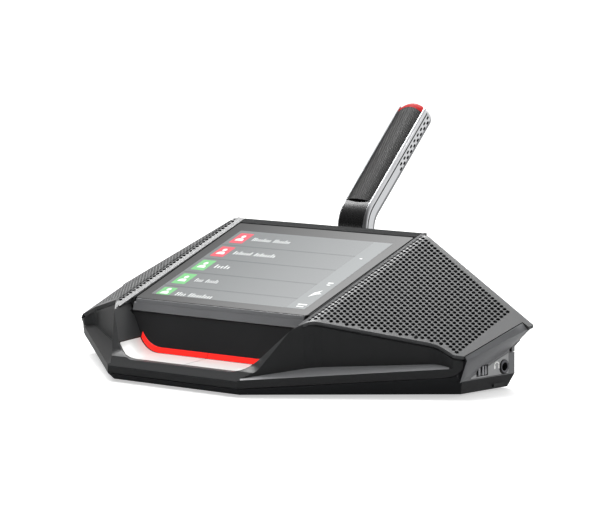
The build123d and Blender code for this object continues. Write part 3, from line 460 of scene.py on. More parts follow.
def tube(stations, looped=False):
    """A closed mesh through stations of equally many points: its ends are filled, or meet in a loop."""
    count, total = len(stations[0]), len(stations)
    points = [point for station in stations for point in station]
    faces = [] if looped else [list(reversed(range(count))), [(total - 1) * count + i for i in range(count)]]
    for ring in range(total if looped else total - 1):
        a, b = ring * count, (ring + 1) % total * count
        faces += [[a + i, a + (i + 1) % count, b + (i + 1) % count, b + i] for i in range(count)]
    return points, faces


def open_edges(faces):
    """The directed edges of some faces that have no neighbour."""
    edges = {}
    for ring in faces:
        for a, b in zip(ring, ring[1:] + ring[:1]):
            if not edges.pop((b, a), False):
                edges[(a, b)] = True
    return list(edges)


def closed_sheet(upper, lower, faces):
    """A sheet between two layers of points that share their faces, closed around its open edges."""
    total = len(upper)
    under = [[total + i for i in reversed(ring)] for ring in faces]
    rim = [[b, a, total + a, total + b] for a, b in open_edges(faces)]
    return upper + lower, faces + under + rim


def welded(mesh):
    """A working copy of a CAD mesh with its split corners joined, and the layer of its faces' numbers."""
    work = bmesh.new()
    work.from_mesh(mesh)
    number = work.faces.layers.int.new("number")
    for face in work.faces:
        face[number] = face.index
    bmesh.ops.remove_doubles(work, verts=work.verts, dist=WELD * MM)
    return work, number


def slab(outline, low, high, place, chamfer=0.0):
    """A closed slab over a flat outline between two heights; place turns (x, y, z) into a point."""
    rings = [(low, 0.0), (high - chamfer, 0.0)] + ([(high, chamfer)] if chamfer else [])
    return tube([[place(x, y, height) for x, y in pulled_in(outline, pull)] for height, pull in rings])


def pulled_in(outline, distance):
    """A flat outline moved inwards by a distance."""
    if not distance:
        return outline
    moved = []
    for i in range(len(outline)):
        before, here, after = (Vector(outline[(i + k) % len(outline)]) for k in (-1, 0, 1))
        first = (here - before).normalized()
        second = (after - here).normalized()
        inward = Vector((-first.y - second.y, first.x + second.x)).normalized()
        share = max(0.3, inward.dot(Vector((-first.y, first.x))))
        moved.append(tuple(here + inward * distance / share))
    return moved


def arc(x, y, radius, start, sweep, steps, tall=None):
    """Points of an arc about a middle, from a start through a sweep in degrees; tall is its half height
    where it isn't round."""
    turns = [math.radians(start + sweep * k / max(steps, 1)) for k in range(steps + 1)]
    return [(x + radius * math.cos(turn), y + (tall or radius) * math.sin(turn)) for turn in turns]


def rounded(corners, radius, steps):
    """An outline through rounded corners, given as the middle of each corner's arc and its first angle."""
    return [spot for x, y, start in corners for spot in arc(x, y, radius, start, 90, steps)]


def box_outline(x, y, width, height, radius=0.0, steps=4):
    """A rectangle about a middle point, with rounded corners, counter-clockwise."""
    across, up = width / 2 - radius, height / 2 - radius
    return rounded(((x + across, y - up, -90), (x + across, y + up, 0), (x - across, y + up, 90),
                    (x - across, y - up, 180)), radius, steps if radius else 0)


def round_outline(x, y, radius, steps):
    """A circle as a flat outline."""
    return arc(x, y, radius, 0, 360, steps)[:-1]


def on_glass(x, y, z):
    """A place over the glass: across, up the glass and off it."""
    return GLASS_FRONT + ACROSS * x + UP_GLASS * y + OFF_GLASS * z


# ---------------------------------------------------------------- loudspeaker panels


def wing_point(across, along, deep, fold):
    """A place in the panel: across the crest, along it, and under its face."""
    bend = WING_FALL + FLANK_RISE
    reach = fold * math.tan(bend / 2)
    start = CREST_FRONT + UP_GLASS * along
    if across <= -reach:
        return start + ALONG_FLANK * across - OFF_FLANK * deep
    if across >= reach:
        return start + DOWN_WING * across - OFF_WING * deep
    turn = bend * (across + reach) / (2 * reach) - FLANK_RISE
    outward = ACROSS * math.sin(turn) + OFF_GLASS * math.cos(turn)
    return start - ALONG_FLANK * reach - OFF_FLANK * fold + outward * (fold - deep)


def panel_outline():
    """Outline of the right-hand panel's face, unfolded, read from its CAD node."""
    work, _ = welded(NODES["grille_right"].data)
    flat = {}
    for v in work.verts:
        from_crest = v.co / MM - CREST_FRONT
        if abs(from_crest.dot(OFF_WING)) < ON_FACE and from_crest.dot(DOWN_WING) > -ON_FACE:
            flat[v.index] = (from_crest.dot(DOWN_WING), from_crest.dot(UP_GLASS))
        elif abs(from_crest.dot(OFF_FLANK)) < ON_FACE:
            flat[v.index] = (from_crest.dot(ALONG_FLANK), from_crest.dot(UP_GLASS))
    rings = [[v.index for v in face.verts] for face in work.faces]
    work.free()
    after = dict(open_edges([ring for ring in rings if all(i in flat for i in ring)]))
    loops = []
    while after:
        here, onward = after.popitem()
        loop = [here]
        while onward in after:
            loop.append(onward)
            onward = after.pop(onward)
        loops.append([flat[i] for i in loop])
    return max(loops, key=area_of)


def area_of(loop):
    """Signed area of a flat outline."""
    return sum(a[0] * b[1] - b[0] * a[1] for a, b in zip(loop, loop[1:] + loop[:1])) / 2


def inside_by(outline, spots):
    """Distance of each spot inside the outline; negative outside."""
    corners = np.array(outline)
    ends = np.roll(corners, -1, axis=0)
    spots = np.atleast_2d(np.array(spots, float))
    near = np.full(len(spots), 1e9)
    odd = np.zeros(len(spots), bool)
    for a, b in zip(corners, ends):
        run = b - a
        long = run @ run
        if long < 1e-12:
            continue
        share = np.clip(((spots - a) @ run) / long, 0, 1)
        near = np.minimum(near, np.hypot(*(spots - a - share[:, None] * run).T))
        rises = (a[1] > spots[:, 1]) != (b[1] > spots[:, 1])
        if run[1]:
            odd ^= rises & (spots[:, 0] < a[0] + (spots[:, 1] - a[1]) * run[0] / run[1])
    return np.where(odd, near, -near)


def divided(outline, step):
    """The outline with no edge longer than a step."""
    made = []
    for a, b in zip(outline, outline[1:] + outline[:1]):
        parts = max(1, math.ceil(math.dist(a, b) / step))
        made += [(a[0] + (b[0] - a[0]) * k / parts, a[1] + (b[1] - a[1]) * k / parts) for k in range(parts)]
    return made


class Lattice:
    """Skewed lattice of the holes: columns run along the crest, rows along the panel's rear edge.
    One cell measures six by six steps."""

    def __init__(self, outline, sizes):
        self.along = np.array((0.0, sizes.pitch)) / 6
        self.across = np.array((sizes.pitch * math.sqrt(3) / 2, -sizes.lean)) / 6
        slope = sizes.lean / (sizes.pitch * math.sqrt(3) / 2)
        top = max(y + slope * x for x, y in outline) - sizes.margin - sizes.pitch / 2
        self.start = np.array((sizes.field_end, top - slope * sizes.field_end))

    def spot(self, i, j):
        """Place of a lattice step on the unfolded panel."""
        return tuple(self.start + self.across * i + self.along * j)

    def cell(self, spot):
        """The cell that holds a place."""
        i, j = np.linalg.solve(np.array((self.across, self.along)).T, np.array(spot) - self.start) / 6
        return round(i), round(j)


# Lattice steps around one cell, counter-clockwise from its lower right corner
CELL_RIM = ((3, -3), (3, -1), (3, 1), (3, 3), (1, 3), (-1, 3), (-3, 3), (-3, 1), (-3, -1), (-3, -3),
            (-1, -3), (1, -3))


def hole_cells(outline, lattice, sizes):
    """Places of the holes, and the cells among them whose corners all lie inside the outline."""
    kept, whole = {}, set()
    for i in range(0, -60, -1):
        for j in range(1, -60, -1):
            place = lattice.spot(6 * i, 6 * j)
            if place[0] < sizes.field_start:
                continue
            corners = [lattice.spot(6 * i + p, 6 * j + q) for p in (-3, 3) for q in (-3, 3)]
            clear = inside_by(outline, [place] + corners)
            if clear[0] > sizes.margin + sizes.hole_radius:
                kept[(i, j)] = place
                if min(clear[1:]) > 0.25:
                    whole.add((i, j))
    return kept, whole


def perforated_sheet(outline, sizes):
    """The panel as a closed sheet with one chamfered hole per lattice cell."""
    flat, index = [], {}

    def corner(key, spot):
        if key not in index:
            index[key] = len(flat)
            flat.append(tuple(spot))
        return index[key]

    lattice = Lattice(outline, sizes)
    kept, whole = hole_cells(outline, lattice, sizes)
    edge_radius = sizes.hole_radius + sizes.chamfer
    offsets = [np.array(lattice.spot(p, q)) - lattice.start for p, q in CELL_RIM]
    lengths = [math.hypot(*offset) for offset in offsets]
    count = len(offsets)

    def circle(middle, radius):
        return [tuple(middle + offset * radius / long) for offset, long in zip(offsets, lengths)]

    borders = {}
    for (i, j), middle in kept.items():
        if (i, j) in whole:
            steps = [(6 * i + p, 6 * j + q) for p, q in CELL_RIM]
            borders[(i, j)] = [corner(step, lattice.spot(*step)) for step in steps]
        else:
            borders[(i, j)] = [corner((i, j, k), spot) for k, spot in enumerate(circle(middle, edge_radius))]
    rim = [corner(("rim", k), spot) for k, spot in enumerate(divided(outline, sizes.pitch / 2))]
    rim_edges = list(zip(rim, rim[1:] + rim[:1]))
    # Points of the plain margin, which keep its triangles small
    (low_x, low_y), (high_x, high_y) = np.min(outline, axis=0), np.max(outline, axis=0)
    spare = [(x, y) for x in np.arange(low_x, high_x, FILL_STEP) for y in np.arange(low_y, high_y, FILL_STEP)]
    middles = np.array(list(kept.values()))
    for spot, gap in zip(spare, inside_by(outline, spare)):
        if gap > FILL_CLEAR and np.min(np.hypot(*(middles - spot).T)) > max(lengths) + 0.2:
            corner(spot, spot)
    verts, _, faces, origins, _, _ = delaunay_2d_cdt(
        [Vector(p) for p in flat], open_edges(borders.values()) + rim_edges, [], 1, 1e-5)
    back = [o[0] if o else None for o in origins]
    if None in back:
        raise RuntimeError("the panel's outline crosses its field of holes")
    triangles = []
    for face in faces:
        spot = np.mean([verts[i] for i in face], axis=0)
        cell = lattice.cell(spot)
        # A triangle over a hole lies nearer to its middle than the flat of the hole's outline
        if cell in whole or (cell in kept and math.dist(spot, kept[cell]) < edge_radius * 0.945):
            continue
        ring = [back[i] for i in face]
        triangles.append(ring[::-1] if area_of([flat[i] for i in ring]) < 0 else ring)
    total, fold, on_rim = len(flat), sizes.crest_round, set(rim)
    points = [wing_point(*spot, 0.0, fold) for spot in flat]
    points += [wing_point(*spot, sizes.skirt if i in on_rim else sizes.thick, fold)
               for i, spot in enumerate(flat)]
    faces = triangles + [[total + i for i in reversed(t)] for t in triangles]
    faces += [[b, a, total + a, total + b] for a, b in rim_edges]
    rings = ((edge_radius, 0.0), (sizes.hole_radius, sizes.chamfer), (sizes.hole_radius, sizes.thick))
    for key, middle in kept.items():
        levels = [borders[key]]
        for radius, deep in rings if key in whole else rings[1:]:
            levels.append(range(len(points), len(points) + count))
            points += [wing_point(*spot, deep, fold) for spot in circle(middle, radius)]
        levels.append([total + i for i in borders[key]])
        for upper, lower in zip(levels, levels[1:]):
            faces += [[upper[k], upper[k + 1 - count], lower[k + 1 - count], lower[k]] for k in range(count)]
    return Maker((points, faces))


def backing_sheet(outline, sizes):
    """A thin black liner that closes the holes from behind: partly a liner, partly painted shade that makes
    the holes read black.
    """
    fold = sizes.crest_round
    inner = divided(pulled_in(outline, 0.5), 1.5)
    low, high = min(y for _, y in inner), max(y for _, y in inner)
    reach = fold * math.tan((WING_FALL + FLANK_RISE) / 2)
    spare = [(x, y) for x in np.linspace(-reach, reach, 7) for y in np.arange(low, high, 6.0)]
    flat = inner + [spot for spot, gap in zip(spare, inside_by(inner, spare)) if gap > 0.4]
    rim_edges = [(i, (i + 1) % len(inner)) for i in range(len(inner))]
    verts, _, triangles, _, _, _ = delaunay_2d_cdt([Vector(p) for p in flat], rim_edges, [], 1, 1e-5)
    rings = [list(t) if area_of([verts[i] for i in t]) > 0 else list(reversed(t)) for t in triangles]
    upper, lower = ([wing_point(*spot, sizes.thick + deep, fold) for spot in verts] for deep in (0.3, 0.6))
    return Maker(closed_sheet(upper, lower, rings))


class FitGrilles(bpy.types.Operator):
    """Perforated panels over both loudspeakers, with a black liner behind the holes"""
    bl_idname = "delegate_unit.fit_grilles"
    bl_label = "Loudspeaker panels"

    def execute(self, context):
        sizes, case = settings("grille"), settings("case")
        # ABS, moulded with a spark-eroded texture: a satin web that lights up where it turns over the crest
        web = moulded("moulded_abs_wing", case.wing_colour, rough=0.36, grain=case.grain, depth=SPARK_DEPTH)
        outline = panel_outline()
        panels = perforated_sheet(outline, sizes).both("speaker_panel", "grille_plastic", web, 25.0)
        for panel, (side, _) in zip(panels, SIDES):
            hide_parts("grille_" + side)
        # The liner's black is partly painted shade inside the holes
        backing_sheet(outline, sizes).both("speaker_liner", "inner_black", black_nylon())
        return {"FINISHED"}


def over_recess(face):
    """Whether a face of the case looks sideways over one of the side recesses."""
    x, _, z = face.calc_center_median() / MM
    return abs(x) > 117.5 and 17 < z < 26 and abs(face.normal.x) > 0.6 and abs(face.normal.y) < 0.3


def smooth_region(mesh, seed, crease):
    """The faces that join some seeds without an edge sharper than a crease, whose cosine is given."""
    work, number = welded(mesh)
    waiting = [face for face in work.faces if seed(face)]
    found = set(waiting)
    while waiting:
        face = waiting.pop()
        for other in {other for edge in face.edges for other in edge.link_faces} - found:
            if face.normal.dot(other.normal) > crease:
                found.add(other)
                waiting.append(other)
    numbers = sorted(face[number] for face in found)
    work.free()
    return numbers


class DressCase(bpy.types.Operator):
    """Plastics of the cover, base, lip, side panels and rear plate, with rounded edges"""
    bl_idname = "delegate_unit.dress_case"
    bl_label = "Case"

    def execute(self, context):
        case = settings("case")
        # ABS, spark-eroded: charcoal satin that turns grey where it catches the light at a low angle
        cover = moulded("moulded_abs_cover", case.cover_colour, rough=0.34, grain=case.grain,
                        depth=SPARK_DEPTH, shine=0.45)
        # The same in black: duller, so that the tray stays dark under the cover
        base = moulded("moulded_abs_base", case.base_colour, rough=0.4, grain=case.grain, depth=SPARK_DEPTH,
                       shine=0.25)
        # The same ABS, greyer, on the faces that look sideways over the side recesses: painted light from the
        # side
        flank = moulded("moulded_abs_flank_painted_light", linear("#5a5b5d"), rough=0.36, grain=case.grain,
                        depth=SPARK_DEPTH)
        for node, made in (("top_cover", cover), ("base_housing", base)):
            shell = dress(node, made, case.edge_round).data
            shell.materials.append(flank)
            # Faces over the side recesses take the greyer ABS as painted light
            for number in smooth_region(shell, over_recess, math.cos(math.radians(14))):
                shell.polygons[number].material_index = 1
        dress("screen_housing", painted_lip(), case.edge_round / 2)
        # Polycarbonate, polished: black with clean reflections
        dress("recess_panel", moulded("polished_polycarbonate_black", linear("#2e2e2f"), rough=0.2, grain=0.8,
                                      depth=0.002, shine=0.3))
        dress("rear_plate", black_nylon(), case.edge_round / 2)
        # ABS with a coarser grain: mid-grey and even, with a wide dull highlight
        side_plastic = moulded("moulded_abs_side", case.side_colour, rough=0.4, grain=0.8, depth=0.03)
        for side, _ in SIDES:
            dress("side_panel_" + side, side_plastic, case.edge_round / 3)
        # Skins on the hand ledges: a pale painted highlight that turns dark at a low viewing angle as painted
        # shade
        ledge = Maker(cover_skin(LEDGE_SLOPE, match=0.9995, low_x=40, lift=0.08))
        ledge.both("ledge_sheen_skin", "cover_plastic", ledge_painted_sheen(case.ledge_sheen_colour))
        # A dark, dull skin on the bar in front of the caps, where a hand rests: painted shade, all but
        # without a reflection
        soft = moulded("bar_painted_shade", linear("#1f2021"), rough=0.7, grain=0.8, depth=0.01, shine=0.1)
        bar_shade = Maker(cover_skin(HAND_REST_SLOPE, match=0.985, low_x=-60, lift=0.06))
        bar_shade.piece("hand_rest_shade_skin", "housing", "cover_plastic", soft)
        return {"FINISHED"}


# Places of the page's tones in its list of finishes
PAGE, RULE, BUSY, FREE, WORD, RAIL = range(6)
# Middle of the seat marks across the glass, and the height of the first row up it
MARK_X = -41.4
FIRST_ROW = 66.0
# Strokes in the words of each row
ROWS = ((9, 8), (7, 8), (5,), (4, 6), (4, 9))


def list_page(look):
    """The list on the display: rules, marks, bars in place of words, and a column of controls."""
    maker = Maker()

    def mark(outline, rise, tone=WORD):
        maker.add(*slab(outline, -0.05, rise, on_glass), tone)

    bottom, top = 5.4, 73.6
    mark(box_outline(0.05, (bottom + top) / 2, 96.5, top - bottom), 0.02, PAGE)
    mark(box_outline(42.6, (bottom + top) / 2, 11.0, top - bottom - 0.4), 0.035, RAIL)
    for k, words in enumerate(ROWS):
        row = FIRST_ROW - look.row_pitch * k
        rule = row - look.row_pitch / 2 - 0.4
        if rule > bottom + 1:
            mark(box_outline(-5.6, rule, 84.6, 0.75), 0.045, RULE)
        low, high = max(bottom + 0.1, row - 5.2), row + 5.1
        mark(box_outline(MARK_X, (low + high) / 2, 8.6, high - low, 0.6), 0.05, BUSY if k < 2 else FREE)
        # A plain sign for a seat: a head and shoulders
        seat = max(row, low + 3.6)
        mark(round_outline(MARK_X, seat + 1.7, 1.35, 14), 0.06)
        mark([(MARK_X + x, seat - y) for x, y in ((-2.5, 2.7), (2.5, 2.7), (2.3, 1.0), (1.2, 0.1),
                                                  (-1.2, 0.1), (-2.3, 1.0))], 0.06)
        pen = -34.0
        for word in words:
            for letter in range(word):
                tall = 3.4 if letter == 0 or (letter * 5 + k * 3) % 4 == 1 else 2.3
                wide = 1.0 + 0.35 * ((letter * 3 + k) % 3)
                middle = max(row - 1.7, bottom + 0.3) + tall / 2
                mark(box_outline(pen + wide / 2, middle, wide * 0.5, tall, 0.2, 2), 0.06)
                pen += wide + 0.35
            pen += 1.6
    mark([(41.0, 17.0), (43.6, 19.6), (46.4, 20.6), (44.2, 21.6), (44.8, 24.0), (41.6, 21.2)], 0.06)
    for x, y, wide, tall in ((43.6, 31.2, 3.2, 1.1), (43.6, 29.4, 2.2, 0.8), (43.8, 9.6, 5.6, 1.0),
                             (43.8, 7.6, 4.2, 0.9), (42.0, 56.5, 1.6, 0.8)):
        mark(box_outline(x, y, wide, tall, 0.3, 2), 0.055)
    return maker


def glass_outline():
    """Outline of the glass with rounded corners."""
    front, rear = GLASS_HALF_FRONT - GLASS_CORNER, GLASS_HALF_REAR - GLASS_CORNER
    far = GLASS_LENGTH - GLASS_CORNER
    return rounded(((-front, GLASS_CORNER, 180), (front, GLASS_CORNER, 270), (rear, far, 0),
                    (-rear, far, 90)), GLASS_CORNER, 5)


def lip_bead():
    """The sloping bead that closes the corner between the glass edge and the lip."""
    section = ((-0.05, -0.15), (-0.35, -0.15), (-1.45, -1.55), (-0.05, -1.55))
    half = GLASS_HALF_FRONT - 1.2
    return tube([[on_glass(x, y, z) for y, z in section] for x in (-half, half)])


def cover_skin(slope, match, low_x, lift, sink=0.3):
    """A thin skin over those faces of the cover that look along a slope, beyond a place across."""
    work, _ = welded(NODES["top_cover"].data)
    slope = Vector(slope).normalized()
    index, points, faces = {}, [], []
    for face in work.faces:
        if face.normal.dot(slope) > match and face.calc_center_median().x > low_x * MM:
            for v in face.verts:
                if v.index not in index:
                    index[v.index] = len(index)
                    points.append(v.co / MM)
            faces.append([index[v.index] for v in face.verts])
    work.free()
    if not faces:
        raise RuntimeError("the cover has no face at the expected slope")
    front = min(p.y for p in points)
    upper = [p + slope * lift for p in points]
    for p in upper:
        p.y = max(p.y, front)
    return closed_sheet(upper, [p - slope * sink for p in points], faces)


class FitScreen(bpy.types.Operator):
    """The touch glass with its polished edge and the lit list page"""
    bl_idname = "delegate_unit.fit_screen"
    bl_label = "Screen"

    def execute(self, context):
        look = settings("screen")
        glass = Maker(slab(glass_outline(), -GLASS_THICK, 0.0, on_glass, 0.3))
        pane = glass.piece("touch_glass_pane", "housing", "cover_glass", cover_glass(), angle=20.0)
        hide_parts("touch_glass")
        Maker(lip_bead()).piece("screen_lip_bead", "housing", "screen_dark", painted_lip(), angle=20.0)
        # Backlit liquid crystal under bonded glass: each tone glows and the skin reflects like the bezel
        tones = [lit("backlit_page_" + name, colour, strength=look.glow * share, rough=0.06)
                 for name, colour, share in (
                     ("grey", look.page_colour, 1.0), ("rule", look.rule_colour, 1.0),
                     ("red", look.busy_colour, 0.9), ("green", look.free_colour, 0.9),
                     ("white", linear("#f2f5f4"), 0.9), ("rail", linear("#74797a"), 1.0))]
        list_page(look).piece("screen_page", "housing", "display_panel", *tones)
        dress("display_module", black_nylon())
        return {"FINISHED"}


class DressRecess(bpy.types.Operator):
    """White button caps and the red light guides behind them"""
    bl_idname = "delegate_unit.dress_recess"
    bl_label = "Button recess"

    def execute(self, context):
        look = settings("recess")
        # ABS, moulded against polished steel: white, with clear soft reflections
        cap = moulded("polished_abs_white", look.cap_colour, rough=0.3, grain=1.2, depth=0.003, drift=0.02)
        # Diffusing acrylic, lit from behind: even red with a glossy skin
        guide = lit("diffusing_acrylic_red", look.light_colour, strength=look.glow, rough=0.2, depth=0.004,
                    base=0.8)
        for side, _ in SIDES:
            dress("mic_button_" + side, cap, 0.3)
            dress("led_strip_" + side, guide)
            dress("button_switch_" + side, black_nylon())
        dress("button_board", circuit_board())
        return {"FINISHED"}


def facing_right(y, z, x):
    """A place on the right-hand side face: along it, up it and out of it."""
    return Vector((SIDE_FACE_X + x, y, z))


def lathe_ring(profile, centre, steps=32):
    """A ring turned about the X axis through a centre, from (radius, out) points of a closed profile."""
    return tube([[Vector(centre) + Vector((out, radius * y, radius * z)) for radius, out in profile]
                 for y, z in round_outline(0, 0, 1, steps)], looped=True)


def headphone_sign(y, z):
    """The usual sign for headphones: a band and two ear pieces."""
    band = arc(y, z, 1.9, 0, 180, 12, 1.75) + arc(y, z, 1.35, 180, -180, 12, 1.2)
    ears = [box_outline(y + offset, z - 0.75, 1.0, 1.6, 0.25, 2) for offset in (-1.5, 1.5)]
    return [slab(outline, -0.05, 0.04, facing_right) for outline in (band, *ears)]


class FitSideControls(bpy.types.Operator):
    """Volume wheels, headphone sockets with their rings, and the headphone signs"""
    bl_idname = "delegate_unit.fit_side_controls"
    bl_label = "Side controls"

    def execute(self, context):
        # Thermoplastic rubber, moulded: dull grey crests over black grooves, whose black is painted shade
        grip = moulded("moulded_rubber_grip", linear("#8a8b8e"), rough=0.42, grain=0.5, depth=0.01)
        for side, _ in SIDES:
            wheel = dress("volume_wheel_" + side, grip, 0.12).data
            wheel.materials.append(black_nylon())
            # Faces inside the crest, in the grooves, take black nylon as painted shade
            for face in wheel.polygons:
                x, y, _ = face.center / MM
                from_axis = math.hypot(abs(x) - WHEEL_AXIS[0], y - WHEEL_AXIS[1])
                if abs(face.normal.z) < 0.5 and from_axis < WHEEL_CREST - 0.25:
                    face.material_index = 1
            dress("wheel_spindle_" + side, black_nylon())
            dress("headphone_jack_" + side, black_nylon(), 0.12)
        # Brass, turned and black nickel plated: a dark ring with one sharp glint
        plated = metal("black_nickel_plated_brass", linear("#5c5c60"), rough=0.25)
        ring = Maker(lathe_ring(((1.82, 0.02), (2.1, 0.22), (2.75, 0.22), (3.0, 0.02)), JACK_PLACE))
        ring.both("jack_ring", "jack_black", plated, 40.0)
        # Ink, pad printed: a thin flat white that is duller than the plastic
        ink = moulded("pad_printed_ink_white", linear("#e8e8e6"), rough=0.45, grain=0.3, depth=0.004)
        Maker(*headphone_sign(*SIGN_PLACE)).both("headphone_sign", "side_dark", ink)
        return {"FINISHED"}


def mic_place(across, depth, run):
    """A place in the leaning microphone: across it, from front to back, and up it from its bend."""
    return Vector((across, MIC_FOOT_Y, MIC_BEND_Z)) + REAR_MIC * depth + UP_MIC * run


def mic_path(across, depth, travel):
    """A place in the microphone at a travel up its neck, round its bend and up its leaning length."""
    turn = min(max(travel / MIC_BEND_RADIUS, 0.0), MIC_LEAN)
    reach = MIC_BEND_RADIUS - depth
    beyond = max(0.0, travel - MIC_BEND_LONG)
    y = MIC_FOOT_Y + MIC_BEND_RADIUS - reach * math.cos(turn) + beyond * math.sin(MIC_LEAN)
    z = MIC_NECK_TOP + reach * math.sin(turn) + min(travel, 0.0) + beyond * math.cos(MIC_LEAN)
    return Vector((across, y, z))


def around_end(section, turns):
    """A bar round the shell's upper corners, from (out, depth) points and (side, degrees) stations."""
    section = [(MIC_TOP_CORNER + out, depth) for out, depth in section]
    stations = []
    for sign, degrees in turns:
        turn = math.radians(degrees)
        stations.append([mic_path(sign * (MIC_WIDTH / 2 - MIC_TOP_CORNER) + reach * math.cos(turn), depth,
                                  MIC_TRAVEL - MIC_TOP_CORNER + reach * math.sin(turn))
                         for reach, depth in section])
    return tube(stations)


def shell_cutters(look):
    """Slots through both side walls of the shell, in two staggered rows, a line along each wall, and the
    rounding of its end."""
    maker = Maker()
    wall, half = MIC_WIDTH / 2, look.line_wide / 2
    section = [(wall + out, depth) for out, depth in ((-LINE_DEEP, -half), (PROUD, -half), (PROUD, half),
                                                      (-LINE_DEEP, half))]
    stops = [LINE_START] + [MIC_BEND_LONG * k / 8 for k in range(9)] + [MIC_BEND_LONG + MIC_LENGTH - LINE_END]
    for sign in (1, -1):
        for row, depth in enumerate(PORT_ROWS):
            for k in range(look.port_count):
                run = MIC_LENGTH - PORT_START - (k + row / 2) * look.port_pitch
                port = box_outline(depth, run, look.port_wide, look.port_long, look.port_wide * 0.45, 3)
                maker.add(*slab(port, -0.8, PROUD, lambda x, y, z: mic_place(sign * (wall + z), x, y)))
        maker.add(*tube([[mic_path(sign * x, look.line_place + depth, stop) for x, depth in section]
                         for stop in stops]))
    # The end's cut faces take the second finish, the painted shade of the back
    maker.add(*end_cutter(look.end_round), 1)
    return maker


def end_cutter(radius):
    """A bar around the shell's upper end that leaves its rear edge rounded."""
    rear = MIC_DEPTH / 2
    section = [(0.8, rear - radius), (0.8, rear + 0.8), (-radius, rear + 0.8)]
    section += arc(-radius, rear - radius, radius, 90, -90, 6)
    return around_end(section, [(sign, first + 10 * k) for sign, first in ((1, 0), (-1, 90))
                                for k in range(10)])


def end_filler(radius):
    """Blocks behind the two rounded corners of the shell's end, which its square hollow cuts thin."""
    rear, wall, front = MIC_DEPTH / 2, 0.8, -2.15
    section = [(-2 * wall, front), (-0.1, front), (-0.1, rear - radius)]
    for k in range(1, 5):
        rise = (radius - wall) * k / 4
        section.append((-0.1 - radius + math.sqrt(radius ** 2 - rise ** 2), rear - radius + rise))
    section.append((-2 * wall, rear - wall))
    return [around_end(section, [(sign, 90 - sign * (60 - 4 * k)) for k in range(11)]) for sign in (1, -1)]


def turned_outward(obj):
    """Make the faces of each closed part of a piece look outwards."""
    work = bmesh.new()
    work.from_mesh(obj.data)
    bmesh.ops.recalc_face_normals(work, faces=work.faces)
    work.to_mesh(obj.data)
    work.free()
    return obj


def crowned_strip(low, high, crown, curl=0.0, steps=14, runs=16):
    """A strip of the microphone's front with a crowned face that may curl back at its upper end. Each end
    is given as its run in the middle and its fall from there to the sides."""
    front, back = [], []
    for i in range(steps + 1):
        side = 2 * i / steps - 1
        start, stop = (run - fall * side ** 2 for run, fall in (low, high))
        for k in range(runs + 1):
            run = start + (stop - start) * k / runs
            depth = MIC_FRONT + 0.25 - crown * (1 - side ** 2) + curl * (k / runs) ** 4
            front.append(mic_place(MIC_FRONT_HALF * side, depth, run))
            back.append(mic_place(MIC_FRONT_HALF * side, MIC_FRONT + 2.4, run))
    row = runs + 1
    firsts = [i * row + k for i in range(steps) for k in range(runs)]
    return closed_sheet(front, back, [[a, a + row, a + row + 1, a + 1] for a in firsts])


class DressMicrophone(bpy.types.Operator):
    """Shell with its sound ports, front mesh, red cap, neck and socket of the microphone"""
    bl_idname = "delegate_unit.dress_microphone"
    bl_label = "Microphone"

    def execute(self, context):
        look = settings("microphone")
        dark = black_nylon()
        # Aluminium, bead-blasted and clear anodised: bright, soft-edged highlights along the shell
        shell = metal("blasted_anodised_aluminium", look.shell_colour, rough=0.3, grain=0.5)
        # The same aluminium, greyer and duller, on the faces that look back, round the back: painted shade
        back = metal("aluminium_back_painted_shade", linear("#8e8f91"), rough=0.45, grain=0.5, depth=0.006)
        obj = dress("mic_shell", shell, 0.25)
        obj.data.materials.append(back)
        obj.data.materials.append(dark)
        # Faces that look back take the greyer aluminium as painted shade
        for face in obj.data.polygons:
            rearward = REAR_MIC if face.center.z > MIC_BEND_Z * MM else Vector((0, 1, 0))
            if face.normal.dot(rearward) > 0.05:
                face.material_index = 1
        cutters = turned_outward(
            shell_cutters(look).piece("mic_shell_cutters", "microphone", "inner_black", dark, back))
        cutters.hide_render = True
        cutters.hide_viewport = True
        cut = obj.modifiers.new("ports_and_line", "BOOLEAN")
        cut.operation = "DIFFERENCE"
        cut.solver = "EXACT"
        cut.object = cutters
        cut.material_mode = "TRANSFER"
        # The corner blocks at the end take the same painted shade
        filler = Maker(*end_filler(look.end_round))
        turned_outward(filler.piece("mic_end_corners", "microphone", "mic_silver", back))
        mesh = Maker(crowned_strip((MESH_START, 0.0), (CAP_START, JOINT_FALL), look.crown))
        front = mesh.piece("mic_front_mesh", "microphone", "mic_mesh", wire_mesh(look.mesh_pitch), angle=40.0)
        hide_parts("mic_grille")
        # Diffusing polycarbonate over red lamps: deep, even red with a soft sheen
        cap = lit("diffusing_polycarbonate_red", linear("#b80a10"), strength=0.45, rough=0.4, depth=0.004,
                  base=0.7, shine=0.12)
        tip = Maker(crowned_strip((CAP_START + CAP_GAP, JOINT_FALL), (MIC_LENGTH, END_FALL), look.crown,
                                  CAP_CURL))
        light = tip.piece("mic_light_cap", "microphone", "light_red", cap, angle=40.0)
        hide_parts("mic_light_ring")
        # ABS, moulded glossy: deep black with one long reflection down the neck
        dress("mic_neck_cover", moulded("glossy_abs_black", linear("#222223"), rough=0.27, grain=0.8,
                                        depth=0.003), 0.2)
        dress("mic_plug", dark)
        dress("mic_socket", dark, 0.2)
        # Aluminium, pressed and left plain: soft grey cans with hardly a mirror image
        dress("mic_capsules", metal("pressed_aluminium_plain", linear("#a8a8aa"), rough=0.35))
        return {"FINISHED"}


def rear_contacts(middle):
    """Eight sprung contacts on the floor of one network socket."""
    path = ((56.0, 12.6), (60.5, 12.9), (66.5, 14.2), (66.7, 13.9), (60.6, 12.5), (56.0, 12.2))
    return [tube([[(middle + (k - 3.5) * 1.02 + half, y, z) for y, z in path] for half in (0.2, -0.2)])
            for k in range(8)]


